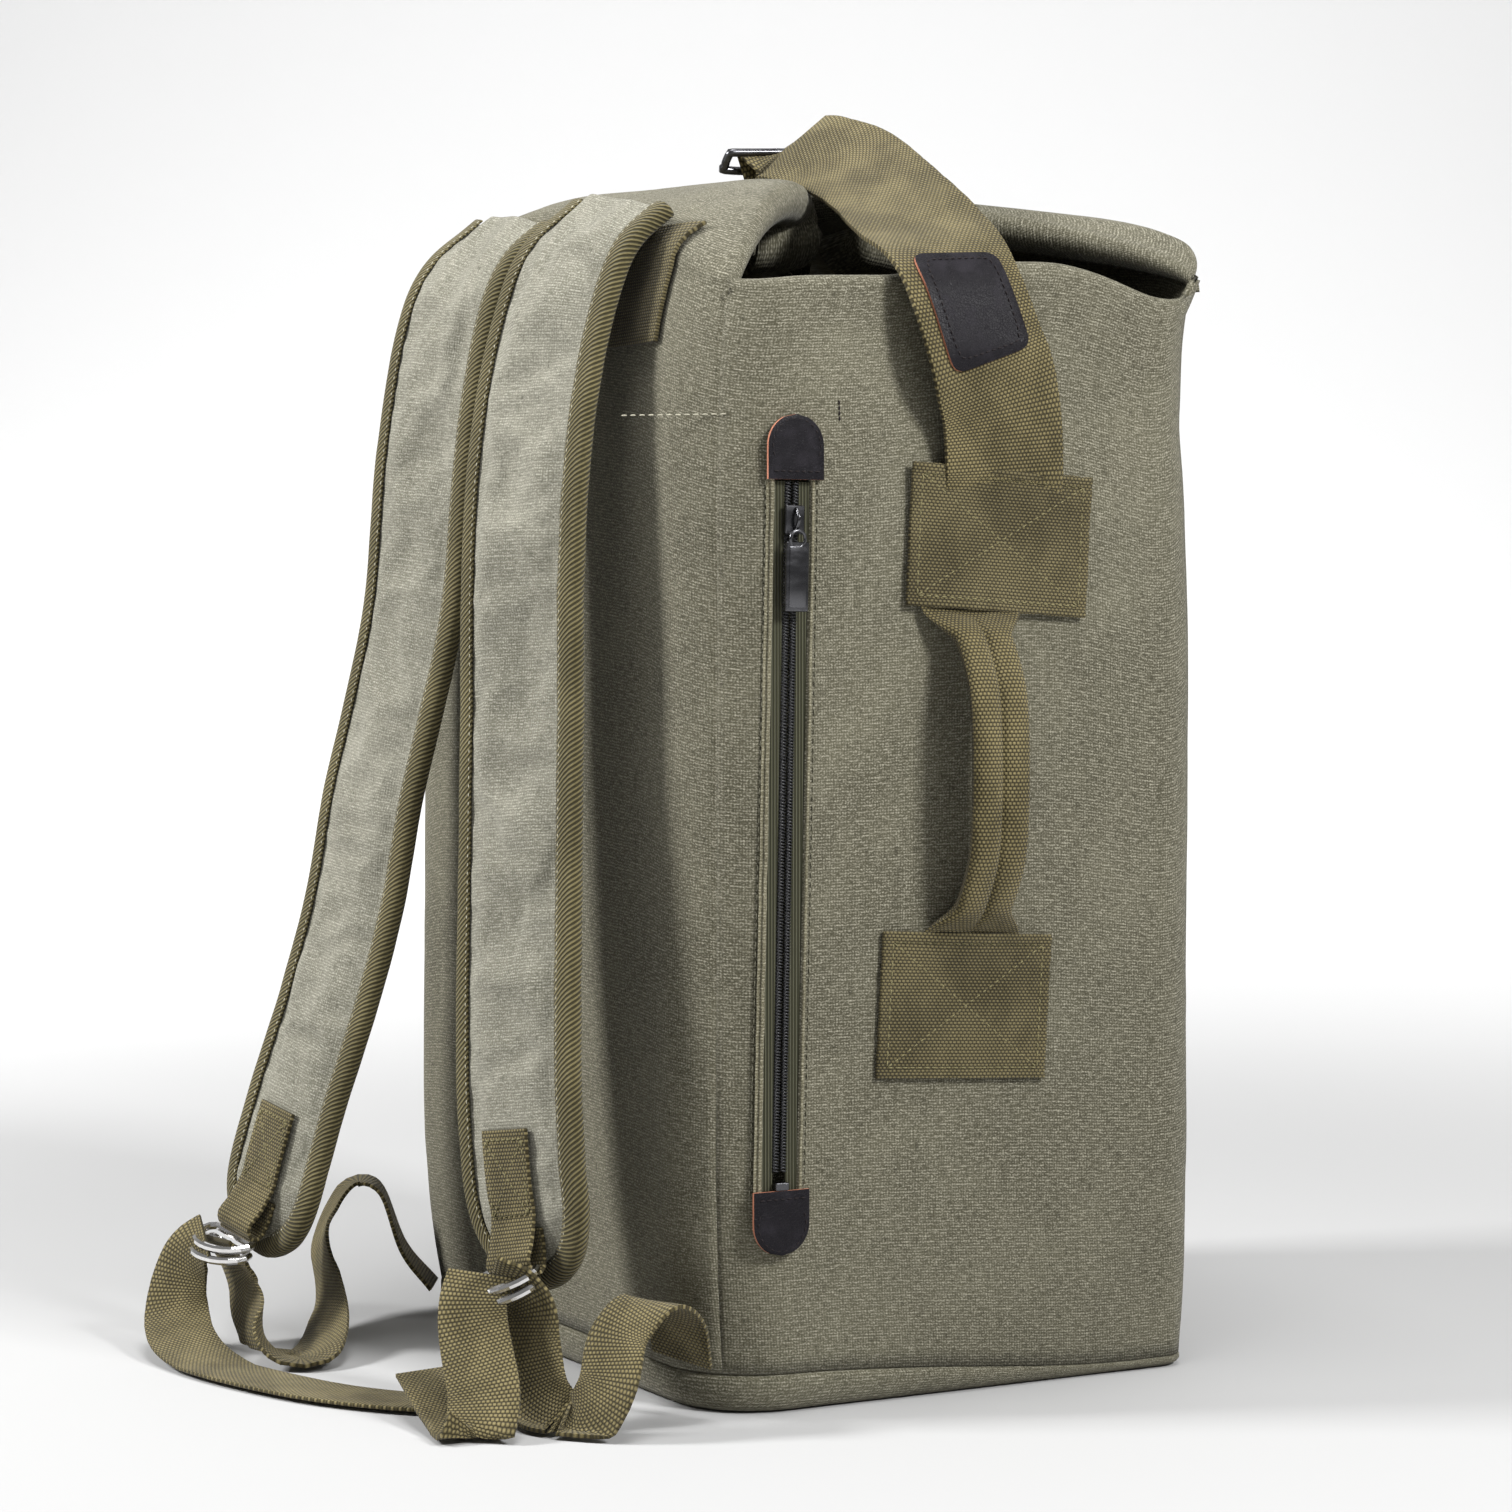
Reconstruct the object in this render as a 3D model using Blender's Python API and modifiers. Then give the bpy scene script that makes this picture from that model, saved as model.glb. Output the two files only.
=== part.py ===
"""Canvas bucket duffel with two padded shoulder straps, standing on its base.

Frame: metres, +Z up, origin at the centre of the flat base on the floor.  The zip and carrying handle
are on the +X side, the shoulder straps hang outside the back (-Y) side.
"""
import math

import bmesh
import bpy
import numpy as np
from mathutils import Matrix, Vector

# ---------------------------------------------------------------- driving dimensions (metres)
HALF_X = 0.154              # half width of the filled body
HALF_Y = 0.122              # half depth of the filled body
CANVAS = 0.0024             # outer canvas and its lining
BASE_BAND = 0.0165          # height of the base piece turned up round the bottom
RIM_Z = 0.458               # mouth rim over the handle side and the plain side
CREST_Z = 0.484             # top of the back and front panels, where the mouth folds start
FOLD_Z = 0.500              # height of the folds where they meet over the middle
CORNER = dict(near=0.038, front=0.024, far=0.05, back=0.046)
ZIP_LENGTH = 0.282
ZIP_SLOT = 0.020
ZIP_CENTRE = (-0.0853, 0.2315)      # Y, Z on the handle side
ZIP_LEAN = math.radians(-1.2)
WEB_WIDE = 0.056            # closure strap webbing
WEB_STRAP = 0.030           # adjusting webbing of the shoulder straps
WEB_T = 0.002
PAD_HALF = 0.036            # half width of the padded part inside its binding
PAD_CORE = 0.006
PAD_COVER = 0.0014
BIND = 0.003                # binding tape folded round the pad edge
RING_WIRE = 0.0018
FLOOR_GAP = 0.001           # loose webbing lies this far off the floor
GAP = 0.0003
MM = 0.001

SKIN = HALF_X + GAP
PATCH_T = 0.0024            # doubled webbing of the handle patches
STRAP_PATCH_T = 0.0016      # leather patch on the closure strap
BAND_T = 0.0018             # webbing band over the tops of the shoulder straps
RING_SIZE = (0.036, 0.013)  # width and depth of the adjusting rings

# ---------------------------------------------------------------- scene, materials
for ob in list(bpy.data.objects):
    bpy.data.objects.remove(ob, do_unlink=True)
COL = bpy.data.collections.new("duffel_bag")
CUT = bpy.data.collections.new("guides")
for c in (COL, CUT):
    bpy.context.scene.collection.children.link(c)

MATERIALS = {
    "canvas": ((0.165, 0.158, 0.115), 0.93, 0.0), "pad_canvas": ((0.29, 0.28, 0.225), 0.93, 0.0),
    "lining": ((0.06, 0.06, 0.045), 0.9, 0.0), "webbing": ((0.155, 0.135, 0.065), 0.88, 0.0),
    "binding": ((0.12, 0.105, 0.05), 0.88, 0.0), "leather": ((0.022, 0.016, 0.018), 0.5, 0.0),
    "foam": ((0.35, 0.35, 0.33), 0.95, 0.0), "tape": ((0.035, 0.036, 0.02), 0.85, 0.0),
    "coil": ((0.02, 0.02, 0.022), 0.4, 0.0), "gunmetal": ((0.16, 0.16, 0.17), 0.28, 1.0),
    "chrome": ((0.72, 0.72, 0.74), 0.16, 1.0), "brass": ((0.35, 0.27, 0.14), 0.4, 1.0),
}


def material(ob, kind):
    colour, rough, metal = MATERIALS[kind]
    mat = bpy.data.materials.new(ob.name + "_mat")
    mat.use_nodes = True
    bsdf = mat.node_tree.nodes["Principled BSDF"]
    bsdf.inputs["Base Color"].default_value = (*colour, 1)
    bsdf.inputs["Roughness"].default_value = rough
    bsdf.inputs["Metallic"].default_value = metal
    mat.diffuse_color = (*colour, 1)
    ob.data.materials.append(mat)


def finish(ob, kind, origin=None, smooth=True, group=None):
    (group or COL).objects.link(ob)
    if ob.type == "MESH":
        if origin is not None:
            ob.data.transform(ob.matrix_basis)
            ob.matrix_basis = Matrix.Translation(origin)
            ob.data.transform(Matrix.Translation(origin).inverted())
        for f in ob.data.polygons:
            f.use_smooth = smooth
    material(ob, kind)
    return ob


def from_bm(name, bm):
    bmesh.ops.recalc_face_normals(bm, faces=bm.faces)
    me = bpy.data.meshes.new(name)
    bm.to_mesh(me)
    bm.free()
    return bpy.data.objects.new(name, me)


def slab(name, top, bottom, kind, origin=(0, 0, 0)):
    """One closed piece between two point grids of the same rows and columns."""
    top, bottom = np.asarray(top, float), np.asarray(bottom, float)
    rows, cols = top.shape[:2]
    bm = bmesh.new()
    a = [[bm.verts.new(top[r, c]) for c in range(cols)] for r in range(rows)]
    b = [[bm.verts.new(bottom[r, c]) for c in range(cols)] for r in range(rows)]
    for r in range(rows - 1):
        for c in range(cols - 1):
            bm.faces.new((a[r][c], a[r][c + 1], a[r + 1][c + 1], a[r + 1][c]))
            bm.faces.new((b[r][c], b[r + 1][c], b[r + 1][c + 1], b[r][c + 1]))
    ring = [(0, c) for c in range(cols)] + [(r, cols - 1) for r in range(1, rows)]
    ring += [(rows - 1, c) for c in range(cols - 2, -1, -1)] + [(r, 0) for r in range(rows - 2, 0, -1)]
    for i, (r, c) in enumerate(ring):
        s, d = ring[(i + 1) % len(ring)]
        bm.faces.new((a[r][c], b[r][c], b[s][d], a[s][d]))
    return finish(from_bm(name, bm), kind, origin, smooth=False)


def box(name, size, kind, location, rotation=(0, 0, 0), bevel=0.0, origin=None):
    bm = bmesh.new()
    bmesh.ops.create_cube(bm, size=1)
    bmesh.ops.scale(bm, vec=size, verts=bm.verts)
    ob = from_bm(name, bm)
    ob.location, ob.rotation_euler = location, rotation
    if bevel:
        m = ob.modifiers.new("Bevel", "BEVEL")
        m.width, m.segments = bevel, 2
    bpy.context.view_layer.update()
    return finish(ob, kind, origin, smooth=False)


def rod(name, radius, depth, kind, location, rotation=(0, 0, 0), sides=20):
    bm = bmesh.new()
    bmesh.ops.create_cone(bm, cap_ends=True, segments=sides, radius1=radius, radius2=radius, depth=depth)
    ob = from_bm(name, bm)
    ob.location, ob.rotation_euler = location, rotation
    m = ob.modifiers.new("Bevel", "BEVEL")
    m.width, m.segments = radius * 0.2, 1
    return finish(ob, kind)


def wire(name, points, radius, kind, origin, cyclic=False):
    """Round wire along a path given relative to its origin."""
    cu = bpy.data.curves.new(name, "CURVE")
    cu.dimensions, cu.bevel_depth, cu.bevel_resolution = "3D", radius, 2
    cu.use_fill_caps = True
    sp = cu.splines.new("POLY")
    sp.points.add(len(points) - 1)
    for p, q in zip(sp.points, points):
        p.co = (*q, 1)
    sp.use_cyclic_u = cyclic
    sp.use_smooth = True
    ob = bpy.data.objects.new(name, cu)
    ob.location = origin
    return finish(ob, kind)


def plate(name, outline, thickness, kind, location, rotation=(0, 0, 0), hole=None):
    """Flat piece from an outline in its own XY plane, filled and extruded."""
    cu = bpy.data.curves.new(name, "CURVE")
    cu.dimensions, cu.fill_mode, cu.extrude = "2D", "BOTH", thickness / 2
    for pts in [outline] + ([hole] if hole else []):
        sp = cu.splines.new("POLY")
        sp.points.add(len(pts) - 1)
        for p, q in zip(sp.points, pts):
            p.co = (*q, 0, 1)
        sp.use_cyclic_u = True
    ob = bpy.data.objects.new(name, cu)
    ob.location, ob.rotation_euler = location, rotation
    return finish(ob, kind)


def circle(r, n=24, cx=0.0, cy=0.0):
    return [(cx + r * math.cos(2 * math.pi * i / n), cy + r * math.sin(2 * math.pi * i / n)) for i in range(n)]


def spline(points, n):
    """Smooth path through the points (Catmull-Rom), n samples per span."""
    p = np.asarray(points, float)
    p = np.vstack([2 * p[0] - p[1], p, 2 * p[-1] - p[-2]])
    out = []
    for i in range(1, len(p) - 2):
        for t in np.linspace(0, 1, n, endpoint=False):
            out.append(0.5 * ((2 * p[i]) + (p[i + 1] - p[i - 1]) * t
                              + (2 * p[i - 1] - 5 * p[i] + 4 * p[i + 1] - p[i + 2]) * t ** 2
                              + (3 * p[i] - p[i - 1] - 3 * p[i + 1] + p[i + 2]) * t ** 3))
    out.append(p[-2])
    return np.array(out)


def unit(v):
    v = np.asarray(v, float)
    return v / np.maximum(np.linalg.norm(v, axis=-1, keepdims=True), 1e-12)


def web_frames(path, across, samples):
    """Centre, width direction and face direction along a webbing path."""
    c = spline(path, samples)
    w = unit(spline(across, samples))
    t = unit(np.gradient(c, axis=0))
    w = unit(w - t * (w * t).sum(1)[:, None])
    return c, w, np.cross(t, w)


def web_grid(c, w, n, width, lift, cols=3):
    """Point grid across a webbing, lifted off its middle surface."""
    return np.stack([c + w * width * (k / (cols - 1) - 0.5) + n * lift for k in range(cols)], 1)


def ribbon(name, path, across, width, thickness, kind, origin=(0, 0, 0), samples=5, cols=3):
    """Flat webbing along a path; `across` gives the direction of its width at each path point."""
    c, w, n = web_frames(path, across, samples)
    mid = web_grid(c, w, n, width, 0, cols)
    mid[..., 2] = np.maximum(mid[..., 2], FLOOR_GAP + thickness / 2)
    off = n[:, None] * thickness / 2
    return slab(name, mid + off, mid - off, kind, origin)


# ---------------------------------------------------------------- body
def half_sizes(z):
    """Half width of the body at a height, and how far its front and back stand from the middle."""
    zs = (0.0, 0.0175, 0.05, 0.09, 0.37, 0.42, 0.458, 0.486)
    tuck = ((0.008, 0.006, 0.003, 0, 0, 0.003, 0.008, 0.014), (0.008, 0.006, 0.002, 0, 0, 0.002, 0.002, 0.010),
            (0.008, 0.006, 0.002, 0, 0, 0.003, 0.009, 0.022))
    return tuple(np.interp(z, zs, [full - d for d in t]) for full, t in zip((HALF_X, HALF_Y, HALF_Y), tuck))


def outline(z, inset=0.0, seg=6, flat=6):
    """Body section at a height, anticlockwise from the near (+X, -Y) corner, and the corner middles."""
    hx, front, back = half_sizes(z)
    corners = [(hx, -back, "near"), (hx, front, "front"), (-hx, front, "far"), (-hx, -back, "back")]
    pts, marks = [], []
    for i, (x, y, key) in enumerate(corners):
        r = CORNER[key]
        cx, cy = x - math.copysign(r, x), y - math.copysign(r, y)
        start = -90 + 90 * i
        marks.append(len(pts) + seg // 2)
        pts += [(cx + (r - inset) * math.cos(math.radians(start + 90 * k / seg)),
                 cy + (r - inset) * math.sin(math.radians(start + 90 * k / seg))) for k in range(seg + 1)]
        x, y, key = corners[(i + 1) % 4]
        r, a = CORNER[key], math.radians(start + 90)
        end = np.array((x - math.copysign(r, x) + (r - inset) * math.cos(a),
                        y - math.copysign(r, y) + (r - inset) * math.sin(a)))
        last = np.array(pts[-1])
        pts += [tuple(last + (end - last) * k / flat) for k in range(1, flat)]
    return np.array(pts), marks


def panel(name, side, levels, top_z):
    """Wall of the body between two corner seams.  side 0 is +X, 1 +Y, 2 -X, 3 -Y."""
    grids = []
    for inset in (0.0, CANVAS):
        rows = []
        for v in levels:
            _, marks = outline(0.1, inset)
            n = len(outline(0.1)[0])
            i0, i1 = marks[side], marks[(side + 1) % 4]
            idx = [(i0 + k) % n for k in range((i1 - i0) % n + 1)]
            row = []
            for k, i in enumerate(idx):
                u = k / (len(idx) - 1)
                z = BASE_BAND + GAP + v * (top_z(u) - BASE_BAND - GAP)
                p = outline(z, inset)[0]
                q = p[i]
                if k == 0:
                    q = q + unit(p[(i + 1) % n] - q) * GAP
                if k == len(idx) - 1:
                    q = q + unit(p[i - 1] - q) * GAP
                row.append((q[0], q[1], z))
            rows.append(row)
        grids.append(rows)
    slab(name, grids[0], grids[1], "canvas")
    return np.array(grids[0][-1]), np.array(grids[1][-1])


LEVELS = (0, 0.035, 0.08, 0.17, 0.33, 0.5, 0.66, 0.8, 0.88, 0.94, 0.975, 1)


def flat_top(u):
    return RIM_Z


def crest_top(u):
    return RIM_Z + (CREST_Z - RIM_Z) * math.sin(math.pi * min(max(u, 0), 1)) ** 0.5


panel("handle_side_panel", 0, LEVELS, flat_top)
front_edge = panel("front_panel", 1, LEVELS, crest_top)
panel("plain_side_panel", 2, LEVELS, flat_top)
back_edge = panel("back_panel", 3, LEVELS, crest_top)

slot = box("zip_slot_cutter", (0.02, ZIP_SLOT, ZIP_LENGTH), "canvas", (HALF_X, *ZIP_CENTRE), (ZIP_LEAN, 0, 0))
COL.objects.unlink(slot)
CUT.objects.link(slot)
slot.hide_render, slot.display_type = True, "WIRE"
cut = COL.objects["handle_side_panel"].modifiers.new("ZipSlot", "BOOLEAN")
cut.operation, cut.solver, cut.object = "DIFFERENCE", "EXACT", slot

# base: floor with a band turned up to meet the panels
bm = bmesh.new()
rings = []
for z, inset in ((0.0, 0.004), (0.0015, 0.001), (BASE_BAND, 0.0), (BASE_BAND, CANVAS), (0.003, CANVAS)):
    rings.append([bm.verts.new((*p, z)) for p in outline(max(z, 0.0), inset)[0]])
for lo, hi in zip(rings, rings[1:]):
    for i in range(len(lo)):
        j = (i + 1) % len(lo)
        bm.faces.new((lo[i], lo[j], hi[j], hi[i]))
bm.faces.new(rings[0][::-1])
bm.faces.new(rings[-1])
finish(from_bm("base_panel", bm), "canvas", smooth=False)
plate("base_lining_board", [tuple(p) for p in outline(0.01, 0.0048)[0]], 0.002, "lining", (0, 0, 0.0043))

# mouth folds: from the panel crests inwards to the middle
def fold_row(edge, sy, b):
    """Row of the fold at a fraction b of the way from the crest to the middle."""
    a = np.linspace(1, -1, len(edge)) * sy
    mid = np.stack([a * 0.034, np.full_like(a, sy * 0.015), FOLD_Z - 0.010 * a ** 2], 1)
    rise = 0.007 * math.sin(math.pi * b) * (1 - 0.5 * a ** 2)
    row = edge + (mid - edge) * np.array([b, b, b ** 0.8])
    return row + rise[:, None] * np.array([0, 0, 1.0])


def on_fold(edge, sy, x, y, lift):
    """Point at plan position x, y, lifted off the top of a fold, with its tilt."""
    rows = np.array([fold_row(edge[0], sy, b) for b in np.linspace(0, 1, 21)]).reshape(-1, 3)
    near = rows[np.argsort(((rows[:, :2] - (x, y)) ** 2).sum(1))[:9]]
    fit = np.linalg.lstsq(np.c_[near[:, :2], np.ones(9)], near[:, 2], rcond=None)[0]
    up = Vector((-fit[0], -fit[1], 1)).normalized()
    spot = Vector((x, y, float(fit @ (x, y, 1)))) + up * lift
    return spot, up.to_track_quat("Z", "Y").to_euler()


for name, edge, sy in (("mouth_fold_front", front_edge, 1), ("mouth_fold_back", back_edge, -1)):
    top, low = [], []
    for b in np.linspace(0, 1, 8):
        row = fold_row(edge[0], sy, b) + np.array([0, 0, GAP + 0.0004])
        under = edge[1] - edge[0]
        down = np.stack([under[:, 0] * 0.3, under[:, 1] * 0.3, np.full(len(row), -CANVAS)], 1)
        ease = min(1.0, b * 5)
        top.append(row)
        low.append(row + under * (1 - ease) + down * ease)
    slab(name, top, low, "canvas")

for name, sx in (("mouth_facing_handle_side", 1), ("mouth_facing_plain_side", -1)):
    y = np.linspace(-0.075, 0.082, 9) if sx > 0 else np.linspace(-0.062, 0.06, 9)
    grids = []
    for d in (CANVAS + GAP, CANVAS + GAP + 0.0016):
        grids.append([[(sx * (half_sizes(z)[0] - d), yy, z) for yy in y] for z in (0.412, 0.435, RIM_Z)])
    slab(name, grids[0], grids[1], "lining")

# ---------------------------------------------------------------- eyelets, staple and leather at the mouth
spot, turn = on_fold(back_edge, -1, -0.032, -0.044, 0.0019)
plate("mouth_leather_patch", [(-0.024, -0.013), (0.024, -0.013), (0.024, 0.013), (-0.024, 0.013)], 0.0012, "leather",
      spot, turn)
spot, turn = on_fold(back_edge, -1, -0.032, -0.044, 0.0036)
plate("eyelet_back", circle(0.0085), 0.0014, "brass", spot, turn, circle(0.005))
spot, turn = on_fold(front_edge, 1, -0.032, 0.044, 0.0024)
plate("eyelet_front", circle(0.0085), 0.0014, "brass", spot, turn, circle(0.005))
spot, turn = on_fold(front_edge, 1, 0.002, 0.034, 0.0036)
arch = [(0.009 * math.cos(a), 0, 0.010 * math.sin(a)) for a in np.linspace(0, math.pi, 11)]
wire("mouth_staple", arch, 0.0014, "chrome", spot).rotation_euler = turn

# ---------------------------------------------------------------- zip on the handle side
ZIP = Matrix.Translation((HALF_X, *ZIP_CENTRE)) @ Matrix.Rotation(ZIP_LEAN, 4, "X")


def on_zip(x, y, z):
    return ZIP @ Vector((x, y, z))


HALF_ZIP = ZIP_LENGTH / 2
for name, s in (("zip_tape_left", -1), ("zip_tape_right", 1)):
    box(name, (0.0008, 0.0066, ZIP_LENGTH - 0.0008), "tape", on_zip(-0.0016, s * 0.0063, 0), (ZIP_LEAN, 0, 0))
for name, s in (("zip_coil_left", -1), ("zip_coil_right", 1)):
    box(name, (0.0018, 0.0024, ZIP_LENGTH - 0.008), "coil", on_zip(-0.0014, s * 0.0014, 0.004),
        (ZIP_LEAN, 0, 0), 0.0004)
SLIDER_Z = HALF_ZIP - 0.0155
box("zip_slider", (0.0022, 0.0085, 0.0115), "gunmetal", on_zip(0.0013, 0, SLIDER_Z), (ZIP_LEAN, 0, 0), 0.0008)
bail = [(0.0006 + 0.0028 * math.sin(math.pi * t), 0, 0.004 - 0.008 * t) for t in np.linspace(0, 1, 9)]
wire("zip_pull_bail", bail, 0.0006, "gunmetal", on_zip(0.0031, 0, SLIDER_Z)).rotation_euler = (ZIP_LEAN, 0, 0)
tab_plan = [(-0.0052, -0.0375), (0.0052, -0.0375), (0.0052, -0.004), (0.0035, -0.0005), (-0.0035, -0.0005),
            (-0.0052, -0.004)]
tab_slot = [(-0.0022, -0.0065), (0.0022, -0.0065), (0.0022, -0.0045), (-0.0022, -0.0045)]
plate("zip_pull_tab", tab_plan, 0.0014, "gunmetal", on_zip(0.0046, 0, SLIDER_Z - 0.0046),
      (math.pi / 2 + ZIP_LEAN, 0, math.pi / 2), tab_slot)
box("zip_stop_bottom", (0.0030, 0.0060, 0.0032), "gunmetal", on_zip(0.0008, 0, 0.0024 - HALF_ZIP),
    (ZIP_LEAN, 0, 0), 0.0005)


def half_round(w, h, flip=1):
    arc = [(w / 2 * math.cos(t), flip * (h - w / 2 + w / 2 * math.sin(t))) for t in np.linspace(0, math.pi, 13)]
    return [(w / 2, 0)] + arc + [(-w / 2, 0)]


for name, y, z, f in (("zip_leather_tab_top", -0.0818, 0.3728, 1),
                      ("zip_leather_tab_bottom", -0.0883, 0.0912, -1)):
    plate(name, half_round(0.025, 0.0255, f), 0.0016, "leather", (SKIN + 0.0008, y, z),
          (math.pi / 2, 0, math.pi / 2))

# ---------------------------------------------------------------- handle and closure strap patches
LEAN = math.radians(-3.2)
for name, wide, tall, y, z in (("handle_patch_top", 0.087, 0.058, 0.0135, 0.3498),
                               ("handle_patch_bottom", 0.081, 0.0595, -0.003, 0.1607)):
    box(name, (PATCH_T, wide, tall), "webbing", (SKIN + PATCH_T / 2, y, z), (LEAN, 0, 0), PATCH_T / 4)
HX, HY, HZ = SKIN + 0.0062, -0.001, 0.2555
grip_path = [(HX, HY, HZ + 0.0622), (HX + 0.006, HY, HZ + 0.050), (HX + 0.0165, HY, HZ + 0.033),
             (HX + 0.0195, HY, HZ), (HX + 0.0165, HY, HZ - 0.033), (HX + 0.006, HY, HZ - 0.050),
             (HX, HY, HZ - 0.0620)]
c, w, n = web_frames(grip_path, [(0, 1, 0)] * 7, 4)
wide = 0.007 + 0.021 * np.clip((0.0622 - np.abs(c[:, 2] - HZ)) / 0.018, 0, 1) ** 0.7
grip = [np.stack([c + w * (k * wide)[:, None] + n * e * 0.0021 for k in (-0.5, 0, 0.5)], 1) for e in (1, -1)]
slab("handle_grip", grip[0], grip[1], "webbing", (HX, HY, HZ))

# ---------------------------------------------------------------- closure strap with its snap hook
CLOSE_AXIS = (SKIN + 0.0045, 0.020, 0.372)
strap_path = [(0.1583, 0.0150, 0.3815), (0.1605, 0.0140, 0.4070), (0.1630, 0.0060, 0.4320),
              (0.1530, 0.0000, 0.4640), (0.1180, 0.0020, 0.4880), (0.0770, 0.0060, 0.5085),
              (0.0370, 0.0080, 0.5240), (0.0060, 0.0040, 0.5290)]
strap_across = [(0, 1, 0), (0, 1, 0.02), (0, 1, 0), (0, 0.99, 0.12), (0, 0.95, 0.3), (0, 0.9, 0.43),
                (0, 0.9, 0.43), (0, 0.92, 0.38)]
ribbon("closure_strap", strap_path, strap_across, WEB_WIDE, WEB_T, "webbing", CLOSE_AXIS, 4, 9)
c, w, n = (v[6:13] for v in web_frames(strap_path, strap_across, 4))
patch_lifts = (WEB_T / 2 + GAP, WEB_T / 2 + GAP + STRAP_PATCH_T)
patch = [web_grid(c, w, n, WEB_WIDE * 5 / 8, -d, 6) for d in patch_lifts]
slab("strap_leather_patch", patch[0], patch[1], "leather", CLOSE_AXIS)
c, w, n = (v[-1] for v in web_frames(strap_path, strap_across, 4))
run = np.cross(w, n)
FRAME = tuple(c + run * 0.0085)
frame = [(-0.0055, -0.0290), (-0.0055, 0.0290), (0.0045, 0.0290), (0.0070, 0.0240), (0.0070, -0.0240),
         (0.0045, -0.0290)]
wire("hook_frame", [tuple(run * a + w * b) for a, b in frame], 0.0018, "gunmetal", FRAME, True)
HOOK = tuple(np.array(FRAME) + run * 0.0070 + np.array((0, 0, -0.0075)))
rod("hook_swivel", 0.0036, 0.0070, "chrome", HOOK)
hook = [(0, 0, -4.2), (0, 0, -9), (0, 5, -13), (0, 8, -20), (0, 7.5, -29), (0, 4, -35), (0, -1.5, -36.5),
        (0, -6, -33.5), (0, -7.6, -29)]
wire("hook_body", [(x * MM, y * MM, z * MM) for x, y, z in spline(hook, 3)], 0.0021, "chrome", HOOK)
GATE = (HOOK[0], HOOK[1] - 0.0032, HOOK[2] - 0.0130)
wire("hook_gate", [(0, 0.0, 0.0), (0, -0.0012, -0.005), (0, -0.0034, -0.0115)], 0.0012, "chrome", GATE)

# ---------------------------------------------------------------- shoulder straps
band = []
for d in (GAP, GAP + BAND_T):
    band.append([[(x, -(half_sizes(z)[2] + d), z) for x in np.linspace(-0.092, 0.106, 7)]
                 for z in (0.4285, 0.442, 0.456, 0.468)])
slab("strap_anchor_band", band[0], band[1], "webbing")

PADS = {
    "right": dict(yaw=12, path=[
        (0.0580, -0.1090, 0.4880), (0.0575, -0.1290, 0.4700), (0.0575, -0.1400, 0.4450),
        (0.0600, -0.1500, 0.4070), (0.0625, -0.1560, 0.3660), (0.0640, -0.1585, 0.3250),
        (0.0660, -0.1595, 0.2850), (0.0700, -0.1620, 0.2440), (0.0740, -0.1645, 0.2040),
        (0.0800, -0.1680, 0.1650), (0.0860, -0.1705, 0.1250), (0.0920, -0.1700, 0.0860),
        (0.0980, -0.1640, 0.0520)]),
    "left": dict(yaw=8, path=[
        (-0.0460, -0.1090, 0.4900), (-0.0475, -0.1290, 0.4720), (-0.0500, -0.1400, 0.4450),
        (-0.0550, -0.1475, 0.3920), (-0.0600, -0.1515, 0.3266), (-0.0660, -0.1585, 0.2827),
        (-0.0700, -0.1680, 0.2388), (-0.0730, -0.1750, 0.1950), (-0.0770, -0.1860, 0.1510),
        (-0.0820, -0.1990, 0.1072), (-0.0860, -0.2090, 0.0678), (-0.0890, -0.2130, 0.0420)]),
}


def pad_frames(spec, samples=3):
    c = spline(spec["path"], samples)
    t = unit(np.gradient(c, axis=0))
    w = np.array([math.cos(math.radians(spec["yaw"])), math.sin(math.radians(spec["yaw"])), 0.0])
    w = unit(w - t * (t @ w)[:, None])
    n = np.cross(t, w)
    s = np.concatenate([[0], np.cumsum(np.linalg.norm(np.diff(c, axis=0), axis=1))])
    return c, t, w, n, s


def half_width(s, total, full):
    """Half width along the pad: square at the top, rounded at the bottom end."""
    left = total - s
    x = np.clip(1 - left / full, 0, 1)
    return np.maximum(full * np.sqrt(1 - x ** 2), full * 0.28)


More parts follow.
